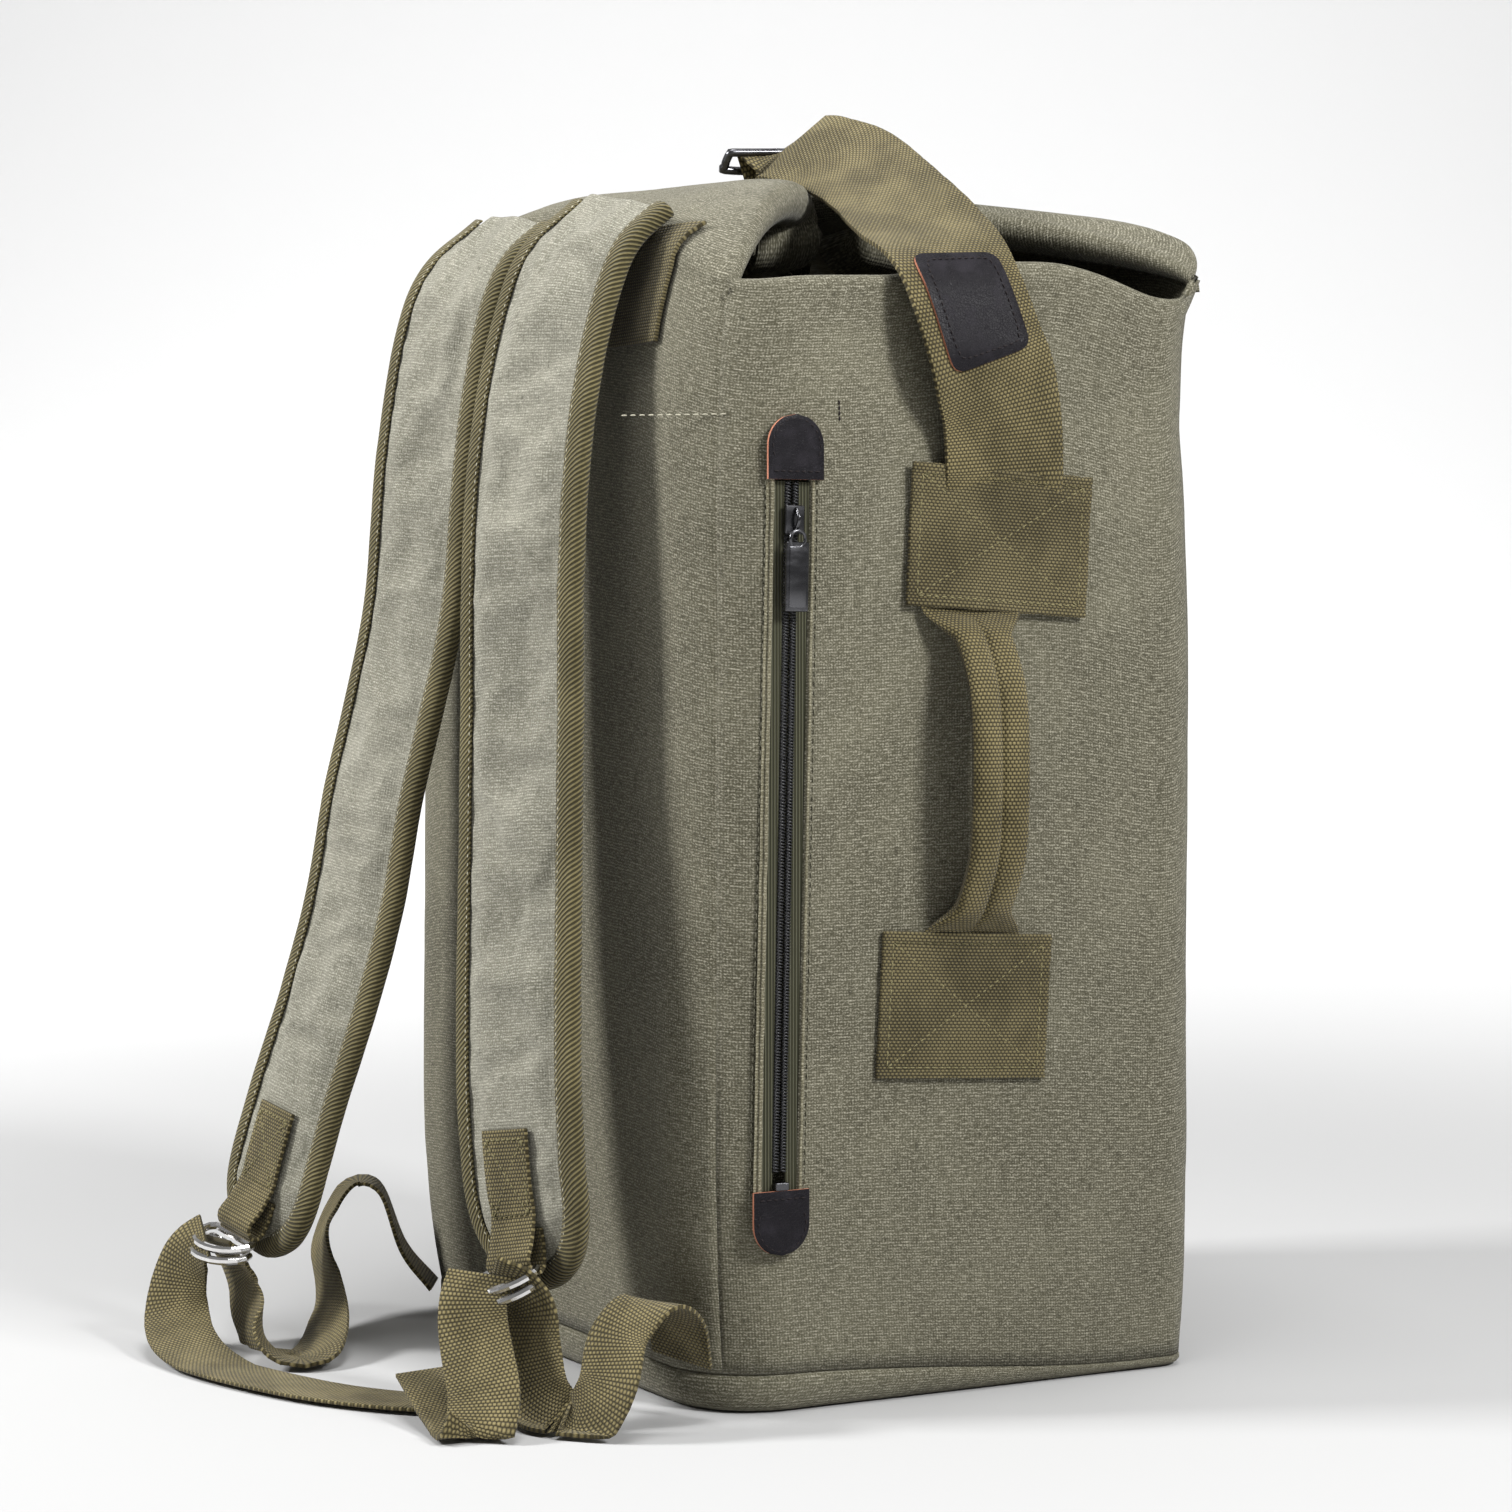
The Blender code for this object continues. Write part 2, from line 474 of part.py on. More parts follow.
STRAP_AXIS = {"right": (0.058, -0.1085, 0.4875), "left": (-0.046, -0.1085, 0.4895)}
TAB_LINE = {}
for side, spec in PADS.items():
    c, t, w, n, s = pad_frames(spec)
    axis = STRAP_AXIS[side]
    h = half_width(s, s[-1], PAD_HALF)
    cols = np.array([-1, -0.5, 0, 0.5, 1.0])

    def layer(name, d, thick, kind, c=c, w=w, n=n, h=h, axis=axis):
        g = [c[:, None] + cols[None, :, None] * (h[:, None] * w)[:, None] + (d + e * thick / 2) * n[:, None]
             for e in (1, -1)]
        slab(name, g[0], g[1], kind, axis)

    layer("pad_core_" + side, 0, PAD_CORE, "foam")
    off = PAD_CORE / 2 + GAP + PAD_COVER / 2
    layer("pad_face_" + side, off, PAD_COVER, "pad_canvas")
    layer("pad_lining_" + side, -off, PAD_COVER, "canvas")
    edge = np.vstack([c - h[:, None] * w, (c + h[:, None] * w)[::-1]])
    out = np.vstack([-w, w[::-1]])
    nn = np.vstack([n, n[::-1]])
    along = unit(np.gradient(edge, axis=0))
    side_dir = unit(np.cross(nn, along))
    side_dir *= np.where((side_dir * out).sum(1) < -0.2, -1, 1)[:, None]
    inner, outer = edge + side_dir * GAP * 1.5, edge + side_dir * (GAP * 1.5 + BIND)
    hw = PAD_CORE / 2 + GAP + PAD_COVER
    front = np.stack([inner + nn * hw, outer + nn * hw], 1)
    rear = np.stack([inner - nn * hw, outer - nn * hw], 1)
    slab("pad_binding_" + side, front, rear, "binding", axis)

    # webbing tab sewn on the face, carrying the two adjusting rings below the end of the pad
    k0, k1 = (int(np.searchsorted(s, s[-1] - d)) for d in (0.062, 0.026))
    up = off + PAD_COVER / 2 + GAP + WEB_T / 2
    low = c[k1 + 1] + n[k1 + 1] * (up + 0.007)
    lifts = np.full(k1 + 2 - k0, up)
    lifts[-2:] += (0.001, 0.007)
    sel = slice(k0, k1 + 2)
    tab = [web_grid(c[sel], w[sel], n[sel] * (lifts + e * WEB_T / 2)[:, None], WEB_STRAP, 1.0, 5)
           for e in (1, -1)]
    slab("ring_tab_" + side, tab[0], tab[1], "webbing", axis)
    TAB_LINE[side] = (low, t[k1], w[k1], n[k1])


def d_ring(width, depth):
    arc = [(width / 2 * math.cos(a), -0.003 + depth * math.sin(a)) for a in np.linspace(0, -math.pi, 13)]
    return [(-width / 2 + 0.002, 0), (width / 2 - 0.002, 0)] + arc


for side, (low, t, w, n) in TAB_LINE.items():
    for k, name in enumerate(("ring_upper_", "ring_lower_")):
        o = low + t * (0.0028 + 0.0048 * k) + n * (0.0012 + 0.0006 * k)
        out = unit(n * 0.95 + t * 0.3)
        ring = [w * a - out * b for a, b in d_ring(*RING_SIZE)]
        wire(name + side, ring, RING_WIRE, "chrome", tuple(o), True)

WEBS = {
    "load_web_right": ([(0.1118, -0.1780, 0.0480), (0.1150, -0.1785, 0.0300), (0.1230, -0.1790, 0.0120),
                        (0.1370, -0.1785, 0.0030), (0.1480, -0.1720, 0.0060), (0.1520, -0.1640, 0.0200),
                        (0.1465, -0.1560, 0.0385), (0.1461, -0.1420, 0.0500), (0.1400, -0.1280, 0.0420),
                        (0.1330, -0.1210, 0.0230)], 24, 24),
    "tail_web_right": ([(0.1070, -0.2000, 0.0410), (0.1140, -0.2020, 0.0310), (0.1272, -0.2050, 0.0170),
                        (0.1355, -0.2105, 0.0060), (0.1335, -0.2125, 0.0024), (0.1160, -0.2100, 0.0062),
                        (0.0950, -0.2080, 0.0125), (0.0760, -0.2050, 0.0170)], 40, 60),
    "load_web_left": ([(-0.0900, -0.2210, 0.0290), (-0.0800, -0.2230, 0.0180), (-0.0550, -0.2240, 0.0070),
                       (-0.0330, -0.2170, 0.0028), (-0.0480, -0.2020, 0.0070), (-0.0900, -0.1830, 0.0190),
                       (-0.1260, -0.1690, 0.0400), (-0.1360, -0.1520, 0.0590), (-0.1300, -0.1390, 0.0570),
                       (-0.1240, -0.1300, 0.0300)], 10, -30),
    "tail_web_left": ([(-0.0960, -0.2460, 0.0330), (-0.0900, -0.2520, 0.0180), (-0.0680, -0.2560, 0.0080),
                       (-0.0350, -0.2530, 0.0028), (0.0000, -0.2440, 0.0024), (0.0336, -0.2309, 0.0024),
                       (0.0615, -0.2120, 0.0024), (0.0821, -0.1905, 0.0024), (0.1000, -0.1720, 0.0024)], 10, 125),
}
for name, (path, first, last) in WEBS.items():
    side = name.rsplit("_", 1)[1]
    origin = path[-1] if name.startswith("load") else STRAP_AXIS[side]
    turn = np.radians(np.linspace(first, last, len(path)))
    across = np.stack([np.cos(turn), np.sin(turn), np.zeros(len(path))], 1)
    ribbon(name, path, across, WEB_STRAP * 0.95, 0.0016, "webbing", origin, 4)
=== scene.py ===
import math

import bmesh
import bpy
import numpy as np
from mathutils import Matrix, Vector


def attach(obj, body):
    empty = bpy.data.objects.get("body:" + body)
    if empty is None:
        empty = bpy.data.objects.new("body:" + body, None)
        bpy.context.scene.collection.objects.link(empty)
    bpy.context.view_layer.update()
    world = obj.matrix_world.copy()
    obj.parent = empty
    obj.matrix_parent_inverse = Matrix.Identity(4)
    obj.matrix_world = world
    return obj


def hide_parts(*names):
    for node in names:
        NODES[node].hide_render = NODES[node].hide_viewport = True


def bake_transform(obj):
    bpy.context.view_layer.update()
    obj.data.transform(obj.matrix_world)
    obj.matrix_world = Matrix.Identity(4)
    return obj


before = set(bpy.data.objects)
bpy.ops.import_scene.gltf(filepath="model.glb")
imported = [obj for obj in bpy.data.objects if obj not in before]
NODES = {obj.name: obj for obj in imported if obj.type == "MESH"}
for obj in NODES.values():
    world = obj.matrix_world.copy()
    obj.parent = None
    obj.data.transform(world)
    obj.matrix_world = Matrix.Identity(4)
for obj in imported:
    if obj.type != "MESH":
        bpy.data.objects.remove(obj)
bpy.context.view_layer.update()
MM = 0.001

# ---------------------------------------------------------------- camera: near-level three-quarter view
CAMERA_AZIMUTH, CAMERA_HEIGHT, CAMERA_DISTANCE = math.radians(61), math.radians(2), 1.60
camera = bpy.data.objects.new("camera", bpy.data.cameras.new("camera"))
bpy.context.scene.collection.objects.link(camera)
bpy.context.scene.camera = camera
camera.data.sensor_width, camera.data.lens = 36.0, 85.714
side = Vector((math.cos(CAMERA_AZIMUTH), math.sin(CAMERA_AZIMUTH), 0))
aim = Vector((0, 0, 0.2575)) - 0.012 * side
back = Vector((math.sin(CAMERA_AZIMUTH) * math.cos(CAMERA_HEIGHT),
               -math.cos(CAMERA_AZIMUTH) * math.cos(CAMERA_HEIGHT), math.sin(CAMERA_HEIGHT)))
camera.location = aim + back * CAMERA_DISTANCE
camera.rotation_mode = "QUATERNION"
camera.rotation_quaternion = (-back).to_track_quat("-Z", "Y")

# ---------------------------------------------------------------- dimensions shared with the CAD (metres)
HALF_X, HALF_Y = 0.154, 0.122
CANVAS = 0.0024
BASE_BAND = 0.0165
CORNER = dict(near=0.038, front=0.024, far=0.05, back=0.046)
ZIP_LENGTH, ZIP_SLOT = 0.282, 0.0165
ZIP_CENTRE = (-0.0853, 0.2315)
ZIP_LEAN = math.radians(-1.2)
SKIN = HALF_X + 0.0003
WEB_WIDE, WEB_STRAP = 0.056, 0.030
PAD_HALF = 0.036
FLOOR_GAP = 0.001


# ---------------------------------------------------------------- small geometry tools
def unit(v):
    """Vectors scaled to length one."""
    v = np.asarray(v, float)
    return v / np.maximum(np.linalg.norm(v, axis=-1, keepdims=True), 1e-12)


def spline(points, n):
    """Smooth path through the points (Catmull-Rom), n samples per span."""
    p = np.asarray(points, float)
    p = np.vstack([2 * p[0] - p[1], p, 2 * p[-1] - p[-2]])
    out = []
    for i in range(1, len(p) - 2):
        for t in np.linspace(0, 1, n, endpoint=False):
            out.append(0.5 * ((2 * p[i]) + (p[i + 1] - p[i - 1]) * t
                              + (2 * p[i - 1] - 5 * p[i] + 4 * p[i + 1] - p[i + 2]) * t ** 2
                              + (3 * p[i] - p[i - 1] - 3 * p[i + 1] + p[i + 2]) * t ** 3))
    out.append(p[-2])
    return np.array(out)


def run_length(path):
    """Distance along a path up to each of its points."""
    return np.concatenate([[0], np.cumsum(np.linalg.norm(np.diff(path[:, :3], axis=0), axis=1))])


def resample(path, step):
    """The same path with evenly spaced points about `step` apart."""
    path = np.asarray(path, float)
    s = run_length(path)
    at = np.linspace(0, s[-1], max(3, int(round(s[-1] / step)) + 1))
    return np.stack([np.interp(at, s, path[:, k]) for k in range(path.shape[1])], 1)


def fit_curve(x, xs, ys):
    """Interpolation through given values: linear, then eased by averaging over nearby places."""
    reach = (xs[-1] - xs[0]) * 0.03
    return sum(np.interp(x + d * reach, xs, ys) for d in (-1, -0.5, 0, 0.5, 1)) / 5


def noise3(p, size, seed=0):
    """Seeded smooth value noise in -1..1 over points p, with features about `size` metres across."""
    q = np.asarray(p, float) / size + seed * 17.31
    base = np.floor(q).astype(np.int64)
    f = q - base
    f = f * f * f * (f * (f * 6 - 15) + 10)
    total = 0
    for dx in (0, 1):
        for dy in (0, 1):
            for dz in (0, 1):
                h = ((base[..., 0] + dx) * 73856093 ^ (base[..., 1] + dy) * 19349663
                     ^ (base[..., 2] + dz) * 83492791 ^ (seed + 1) * 2654435761) & 0xFFFFFFFF
                h = (h ^ (h >> 13)) * 1274126177 & 0xFFFFFFFF
                h = ((h ^ (h >> 16)) & 0xFFFF) / 32767.5 - 1
                share = (f[..., 0] if dx else 1 - f[..., 0]) * (f[..., 1] if dy else 1 - f[..., 1])
                total = total + h * share * (f[..., 2] if dz else 1 - f[..., 2])
    return total


def ease(t):
    """Smooth step from 0 at t = 0 to 1 at t = 1."""
    t = np.clip(t, 0, 1)
    return t * t * (3 - 2 * t)


def grid_normals(g):
    """Unit normal at each point of a grid."""
    du, dv = np.gradient(g, axis=1), np.gradient(g, axis=0)
    return unit(np.cross(du, dv))


def make(name, verts, faces, material, thread=None):
    """A mesh object; `thread` is each vertex's place in its cloth in metres, across and up."""
    me = bpy.data.meshes.new(name)
    me.from_pydata([tuple(v) for v in verts], [], faces)
    if thread is not None:
        flat = np.zeros((len(verts), 3), np.float32)
        flat[:, :2] = np.asarray(thread, float).reshape(-1, 2)
        me.attributes.new("thread", "FLOAT_VECTOR", "POINT").data.foreach_set("vector", flat.ravel())
    me.update()
    me.shade_smooth()
    ob = bpy.data.objects.new(name, me)
    bpy.context.scene.collection.objects.link(ob)
    for m in (material if isinstance(material, (list, tuple)) else [material]):
        me.materials.append(m)
    return ob


def grid_faces(rows, cols, start=0, keep=None):
    """Quads of a grid whose vertices count from `start`; `keep` says which cells are wanted."""
    faces = []
    for r in range(rows - 1):
        for c in range(cols - 1):
            if keep is None or keep(r, c):
                a = start + r * cols + c
                faces.append((a, a + 1, a + cols + 1, a + cols))
    return faces


def closed_slab_faces(rows, cols):
    """Faces of two equal grids, one behind the other, and of the strip that joins their edges."""
    below = rows * cols
    faces = grid_faces(rows, cols) + [f[::-1] for f in grid_faces(rows, cols, below)]
    loop = [(0, k) for k in range(cols)] + [(r, cols - 1) for r in range(1, rows)]
    loop += [(rows - 1, k) for k in range(cols - 2, -1, -1)] + [(r, 0) for r in range(rows - 2, 0, -1)]
    for i, (r, k) in enumerate(loop):
        r2, k2 = loop[(i + 1) % len(loop)]
        a, b = r * cols + k, r2 * cols + k2
        faces.append((b, a, a + below, b + below))
    return faces


def grid_thread(g):
    """Cloth coordinates of a grid: each row's own lengths out from the middle column, mean lengths up it."""
    rows = np.zeros(g.shape[:2])
    rows[:, 1:] = np.cumsum(np.linalg.norm(np.diff(g, axis=1), axis=2), axis=1)
    rows -= rows[:, g.shape[1] // 2][:, None]
    col = np.concatenate([[0], np.cumsum(np.linalg.norm(np.diff(g, axis=0), axis=2).mean(1))])
    return np.stack([rows, np.repeat(col[:, None], g.shape[1], 1)], -1)


def cloth_grid(name, g, material, thickness=0.0, thread=None, offset=-1.0, keep=None, rim=0.0):
    """Sheet from a point grid, given thickness on the side away from its normal."""
    rows, cols = g.shape[:2]
    ob = make(name, g.reshape(-1, 3), grid_faces(rows, cols, keep=keep), material,
              grid_thread(g) if thread is None else thread)
    if thickness:
        m = ob.modifiers.new("Solidify", "SOLIDIFY")
        m.thickness, m.offset = thickness, offset
        if rim:
            b = ob.modifiers.new("Bevel", "BEVEL")
            b.width, b.segments, b.limit_method, b.angle_limit = rim, 2, "ANGLE", math.radians(50)
    return ob


def web_frames(path, across):
    """Centre, width direction and normal at each point of a webbing path."""
    c = np.asarray(path, float)
    t = unit(np.gradient(c, axis=0))
    w = unit(across)
    w = unit(w - t * (w * t).sum(1)[:, None])
    return c, w, np.cross(t, w)


def join_pieces(name, parts, material):
    """One mesh from many (verts, faces) parts."""
    verts, faces = [], []
    for v, f in parts:
        k = len(verts)
        verts += [tuple(p) for p in v]
        faces += [tuple(i + k for i in face) for face in f]
    return make(name, verts, faces, material)


def tube(path, radius, sides=8, cyclic=False, flat=1.0, up=None):
    """(verts, faces) of a closed round tube along a path."""
    c = np.asarray(path, float)
    around = np.vstack([c[-1:], c, c[:1]])
    t = unit(np.gradient(around, axis=0)[1:-1]) if cyclic else unit(np.gradient(c, axis=0))
    ref = np.array(up if up is not None else (0.0, 0.0, 1.0))
    if up is None and abs(t[0] @ ref) > 0.9:
        ref = np.array((1.0, 0, 0))
    u = np.zeros_like(c)
    last = ref
    for i in range(len(c)):
        last = last - t[i] * (last @ t[i])
        last = last / max(np.linalg.norm(last), 1e-9)
        u[i] = last
    v = np.cross(t, u)
    rad = np.broadcast_to(radius, (len(c),))
    turns = [2 * math.pi * k / sides for k in range(sides)]
    ring = [c + (u * math.cos(a) * flat + v * math.sin(a)) * rad[:, None] for a in turns]
    verts = np.stack(ring, 1).reshape(-1, 3)
    n, faces = len(c), []
    for i in range(n if cyclic else n - 1):
        for k in range(sides):
            a, b = i * sides, ((i + 1) % n) * sides
            faces.append((a + k, b + k, b + (k + 1) % sides, a + (k + 1) % sides))
    if not cyclic:
        faces.append(tuple(range(sides)))
        faces.append(tuple((n - 1) * sides + k for k in reversed(range(sides))))
    return verts, faces


STITCH_RISE = np.array([-0.9, 0.35, 0.75, 0.35, -0.9])
STITCH_SHAPE = np.array([0.6, 0.95, 1, 0.95, 0.6])


def stitch_parts(path, normals, length, gap, radius):
    """Thread stitches lying along a path on a surface, as small capsules sunk at both ends."""
    path, normals = np.asarray(path, float), np.asarray(normals, float)
    s = run_length(path)
    count = max(1, int(round(s[-1] / (length + gap))))
    step = s[-1] / count
    parts = []
    for k in range(count):
        at = k * step + np.linspace(gap / 2, step - gap / 2, 5)
        pts = np.stack([np.interp(at, s, path[:, j]) for j in range(3)], 1)
        nrm = unit(np.stack([np.interp(at, s, normals[:, j]) for j in range(3)], 1))
        rise = STITCH_RISE * radius + 0.1 * MM
        parts.append(tube(pts + nrm * rise[:, None], radius * STITCH_SHAPE, 6))
    return parts


# ---------------------------------------------------------------- materials
class Paint:
    """A Principled material with short calls for adding and linking nodes."""

    def __init__(self, name, rough=0.9, metal=0.0, specular=0.3):
        self.mat = bpy.data.materials.new(name)
        self.mat.use_nodes = True
        self.tree = self.mat.node_tree
        self.bsdf = self.tree.nodes["Principled BSDF"]
        self.bsdf.inputs["Roughness"].default_value = rough
        self.bsdf.inputs["Metallic"].default_value = metal
        self.bsdf.inputs["Specular IOR Level"].default_value = specular

    def put(self, socket, value):
        if isinstance(value, bpy.types.NodeSocket):
            self.tree.links.new(value, socket)
        else:
            socket.default_value = value

    def math(self, op, a, b=0.0):
        made = self.tree.nodes.new("ShaderNodeMath")
        made.operation = op
        self.put(made.inputs[0], a)
        self.put(made.inputs[1], b)
        return made.outputs[0]

    def add(self, a, b):
        return self.math("ADD", a, b)

    def times(self, a, b):
        return self.math("MULTIPLY", a, b)

    def ridges(self, a):
        """Rounded ridges, one for each whole number that `a` passes."""
        return self.math("ABSOLUTE", self.math("SINE", self.times(a, math.pi)))

    def place(self, thread):
        """Cloth coordinates where the piece has them, or its own object coordinates."""
        if thread:
            made = self.tree.nodes.new("ShaderNodeAttribute")
            made.attribute_name = "thread"
            return made.outputs["Vector"]
        return self.tree.nodes.new("ShaderNodeTexCoord").outputs["Object"]

    def stretch(self, vector, scale, turn=0.0):
        made = self.tree.nodes.new("ShaderNodeMapping")
        self.put(made.inputs["Vector"], vector)
        made.inputs["Scale"].default_value = scale
        made.inputs["Rotation"].default_value = (0, 0, turn)
        return made.outputs[0]

    def noise(self, vector, scale=1.0, detail=2.0, rough=0.5):
        made = self.tree.nodes.new("ShaderNodeTexNoise")
        self.put(made.inputs["Vector"], vector)
        made.inputs["Scale"].default_value = scale
        made.inputs["Detail"].default_value = detail
        made.inputs["Roughness"].default_value = rough
        return made.outputs["Fac"]

    def span(self, value, low, high, to_low=0.0, to_high=1.0):
        made = self.tree.nodes.new("ShaderNodeMapRange")
        made.interpolation_type = "SMOOTHSTEP"
        self.put(made.inputs[0], value)
        for k, v in enumerate((low, high, to_low, to_high), 1):
            made.inputs[k].default_value = v
        return made.outputs[0]

    def mix(self, fac, a, b, blend="MIX"):
        made = self.tree.nodes.new("ShaderNodeMix")
        made.data_type, made.blend_type = "RGBA", blend
        self.put(made.inputs[0], fac)
        for socket, value in ((made.inputs[6], a), (made.inputs[7], b)):
            self.put(socket, value if isinstance(value, bpy.types.NodeSocket) else (*value, 1))
        return made.outputs[2]

    def axes(self, vector):
        made = self.tree.nodes.new("ShaderNodeSeparateXYZ")
        self.put(made.inputs[0], vector)
        return made.outputs[0], made.outputs[1]

    def done(self, colour, height=None, depth=0.0, strength=1.0, rough=None):
        self.put(self.bsdf.inputs["Base Color"], colour)
        if height is not None:
            bump = self.tree.nodes.new("ShaderNodeBump")
            bump.inputs["Strength"].default_value = strength
            bump.inputs["Distance"].default_value = depth
            self.put(bump.inputs["Height"], height)
            self.put(self.bsdf.inputs["Normal"], bump.outputs[0])
        if rough is not None:
            self.put(self.bsdf.inputs["Roughness"], rough)
        return self.mat


def canvas_paint(name, dark, mid, light, pitch=0.62 * MM, wear=1.0):
    """Washed canvas: fine rows of slubby weft over the warp, pale where the threads are worn, with painted
    shade where they sit low.
    """
    p = Paint(name, 0.95, specular=0.12)
    at = p.place(True)
    body = p.tree.nodes.new("ShaderNodeTexCoord").outputs["Object"]
    u, v = p.axes(p.stretch(at, (0.5 / pitch, 0.5 / pitch, 1)))
    rows, cols = p.ridges(v), p.ridges(u)
    slub = p.noise(p.stretch(at, (230, 1 / (2 * pitch), 1)), 1, 2, 0.65)
    warp = p.noise(p.stretch(at, (1 / (2 * pitch), 200, 1)), 1, 1, 0.5)
    fleck = p.noise(p.stretch(at, (1100, 1500, 1)), 1, 1, 0.5)
    cloud = p.noise(body, 8, 4, 0.6)
    patch = p.noise(body, 38, 3, 0.65)
    tone = p.mix(p.span(p.add(p.times(cloud, 0.6), p.times(patch, 0.4)), 0.36, 0.66), dark, mid)
    weave = p.add(p.times(rows, 0.16), p.times(cols, 0.08))
    worn = p.add(weave, p.add(p.times(slub, 0.45), p.times(fleck, 0.75)))
    tone = p.mix(p.times(p.span(worn, 0.66, 1.06), 0.85 * wear), tone, light)
    # painted shade: threads that sit low are darkened towards near black
    sunk_shade = p.span(p.add(p.times(slub, 0.5), p.times(warp, 0.5)), 0.46, 0.28)
    tone = p.mix(p.times(sunk_shade, 0.55), tone, [c * 0.45 for c in dark])
    height = p.add(p.times(p.add(rows, cols), 0.35), p.add(p.times(slub, 0.9), p.times(fleck, 0.5)))
    p.bsdf.inputs["Sheen Weight"].default_value = 0.08
    p.bsdf.inputs["Sheen Roughness"].default_value = 0.6
    return p.done(tone, height, 0.40 * MM, 0.8)


def webbing_paint(name, dark, mid, light, across=1.8 * MM, along=1.5 * MM, thread=True, chevron=False):
    """Coarse webbing: staggered rows of raised beads, or a herringbone for narrow tape, with painted shade
    between the beads.
    """
    p = Paint(name, 0.9, specular=0.2)
    at = p.place(thread)
    u, v = p.axes(at)
    if chevron:
        rib = 2.1 * MM
        slant = p.add(v, p.times(u, 0.8))
        bead = p.span(p.math("SINE", p.times(slant, 2 * math.pi / rib)), -1, 1)
    else:
        line = p.math("DIVIDE", v, along)
        row = p.math("ABSOLUTE", p.math("FLOOR", line))
        shift = p.times(p.math("MODULO", row, 2.0), 0.5)
        beads = p.ridges(p.add(p.math("DIVIDE", u, across), shift))
        bead = p.math("POWER", p.times(beads, p.ridges(line)), 0.55)
    fibre = p.noise(p.stretch(at, (700, 700, 1)), 1, 2, 0.6)
    cloud = p.noise(p.stretch(at, (30, 22, 1)), 1, 3, 0.6)
    tone = p.mix(p.span(cloud, 0.35, 0.65), mid, [0.5 * (a + b) for a, b in zip(mid, light)])
    # painted shade: the hollows between the beads are darkened towards the dark colour
    tone = p.mix(p.span(bead, 0.25, 0.8, 0.85, 0.0), tone, dark)
    worn = p.span(p.add(bead, p.times(fibre, 0.6)), 0.95, 1.45)
    tone = p.mix(p.times(worn, 0.65), tone, light)
    p.bsdf.inputs["Sheen Weight"].default_value = 0.1
    p.bsdf.inputs["Sheen Roughness"].default_value = 0.5
    return p.done(tone, p.add(bead, p.times(fibre, 0.35)), 0.55 * MM, 0.9)


def leather_paint(name, colour, raw=False):
    """Scuffed leather with a fine grain, or its raw cut edge."""
    p = Paint(name, 0.5, specular=0.16)
    at = p.place(False)
    grain = p.tree.nodes.new("ShaderNodeTexVoronoi")
    grain.feature = "DISTANCE_TO_EDGE"
    p.put(grain.inputs["Vector"], at)
    grain.inputs["Scale"].default_value = 900
    pores = p.noise(at, 1500, 2, 0.6)
    scuff = p.noise(at, 90, 4, 0.65)
    tone = p.mix(p.span(scuff, 0.45, 0.75), colour, [c * (1.25 if raw else 2.1) + 0.004 for c in colour])
    height = p.add(p.span(grain.outputs["Distance"], 0.0, 0.12), p.times(pores, 0.5))
    return p.done(tone, height, 0.12 * MM, 1.0 if raw else 0.7, p.span(scuff, 0.3, 0.8, 0.42, 0.62))


def metal_paint(name, colour, rough, wear=0.12):
    """Plated metal, a little smeared and specked."""
    p = Paint(name, rough, 1.0, 0.5)
    at = p.place(False)
    smear = p.noise(p.stretch(at, (60, 60, 160)), 1, 4, 0.6)
    speck = p.noise(at, 1400, 2, 0.6)
    tone = p.mix(p.span(smear, 0.35, 0.7), colour, [min(1, c * (1 + wear * 2)) for c in colour])
    return p.done(tone, speck, 0.03 * MM, 0.3, p.span(smear, 0.3, 0.75, rough * 0.75, rough * 1.5))


def thread_paint(name, colour):
    """Twisted sewing thread."""
    p = Paint(name, 0.85, specular=0.25)
    at = p.place(False)
    ply = p.noise(at, 1500, 2, 0.6)
    return p.done(p.mix(p.span(ply, 0.35, 0.7), [c * 0.7 for c in colour], colour), ply, 0.1 * MM, 0.8)


CANVAS_DARK, CANVAS_MID, CANVAS_LIGHT = (0.068, 0.063, 0.040), (0.108, 0.101, 0.067), (0.36, 0.34, 0.265)
canvas = canvas_paint("washed_canvas", CANVAS_DARK, CANVAS_MID, CANVAS_LIGHT)
pad_canvas = canvas_paint("pad_canvas_washed", (0.130, 0.125, 0.093), (0.200, 0.193, 0.152),
                          (0.46, 0.445, 0.375),
                          wear=0.9)
edge_canvas = canvas_paint("canvas_turned_edge", (0.11, 0.10, 0.062), (0.165, 0.152, 0.098),
                           (0.40, 0.375, 0.28))
# painted shade: the lining is made near-black so the inside of the bag reads dark
lining = canvas_paint("lining_canvas_painted_shade", (0.035, 0.036, 0.026), (0.055, 0.056, 0.040), (0.11, 0.11, 0.085),
                      wear=0.6)
webbing = webbing_paint("olive_webbing", (0.020, 0.016, 0.006), (0.078, 0.063, 0.024), (0.29, 0.24, 0.115))
patch_webbing = webbing_paint("patch_webbing", (0.019, 0.015, 0.006), (0.064, 0.052, 0.021),
                              (0.22, 0.185, 0.092),
                              across=1.9 * MM, along=1.3 * MM)
binding = webbing_paint("herringbone_binding", (0.024, 0.020, 0.008), (0.082, 0.069, 0.028),
                        (0.215, 0.182, 0.085),
                        chevron=True)
tape = webbing_paint("zip_tape_weave", (0.020, 0.020, 0.010), (0.056, 0.055, 0.029), (0.12, 0.12, 0.075),
                     across=0.8 * MM, along=0.7 * MM, thread=False)
leather = leather_paint("dark_leather", (0.0055, 0.0045, 0.0065))
leather_edge = leather_paint("raw_leather_edge", (0.42, 0.17, 0.105), raw=True)
gunmetal = metal_paint("gunmetal_plate", (0.085, 0.085, 0.09), 0.24)
chrome = metal_paint("bright_plate", (0.70, 0.69, 0.68), 0.15)
brass = metal_paint("aged_brass", (0.33, 0.26, 0.15), 0.34)
coil_paint = Paint("zip_coil_nylon", 0.36, specular=0.5)
coil_speck = coil_paint.noise(coil_paint.place(False), 900, 2)
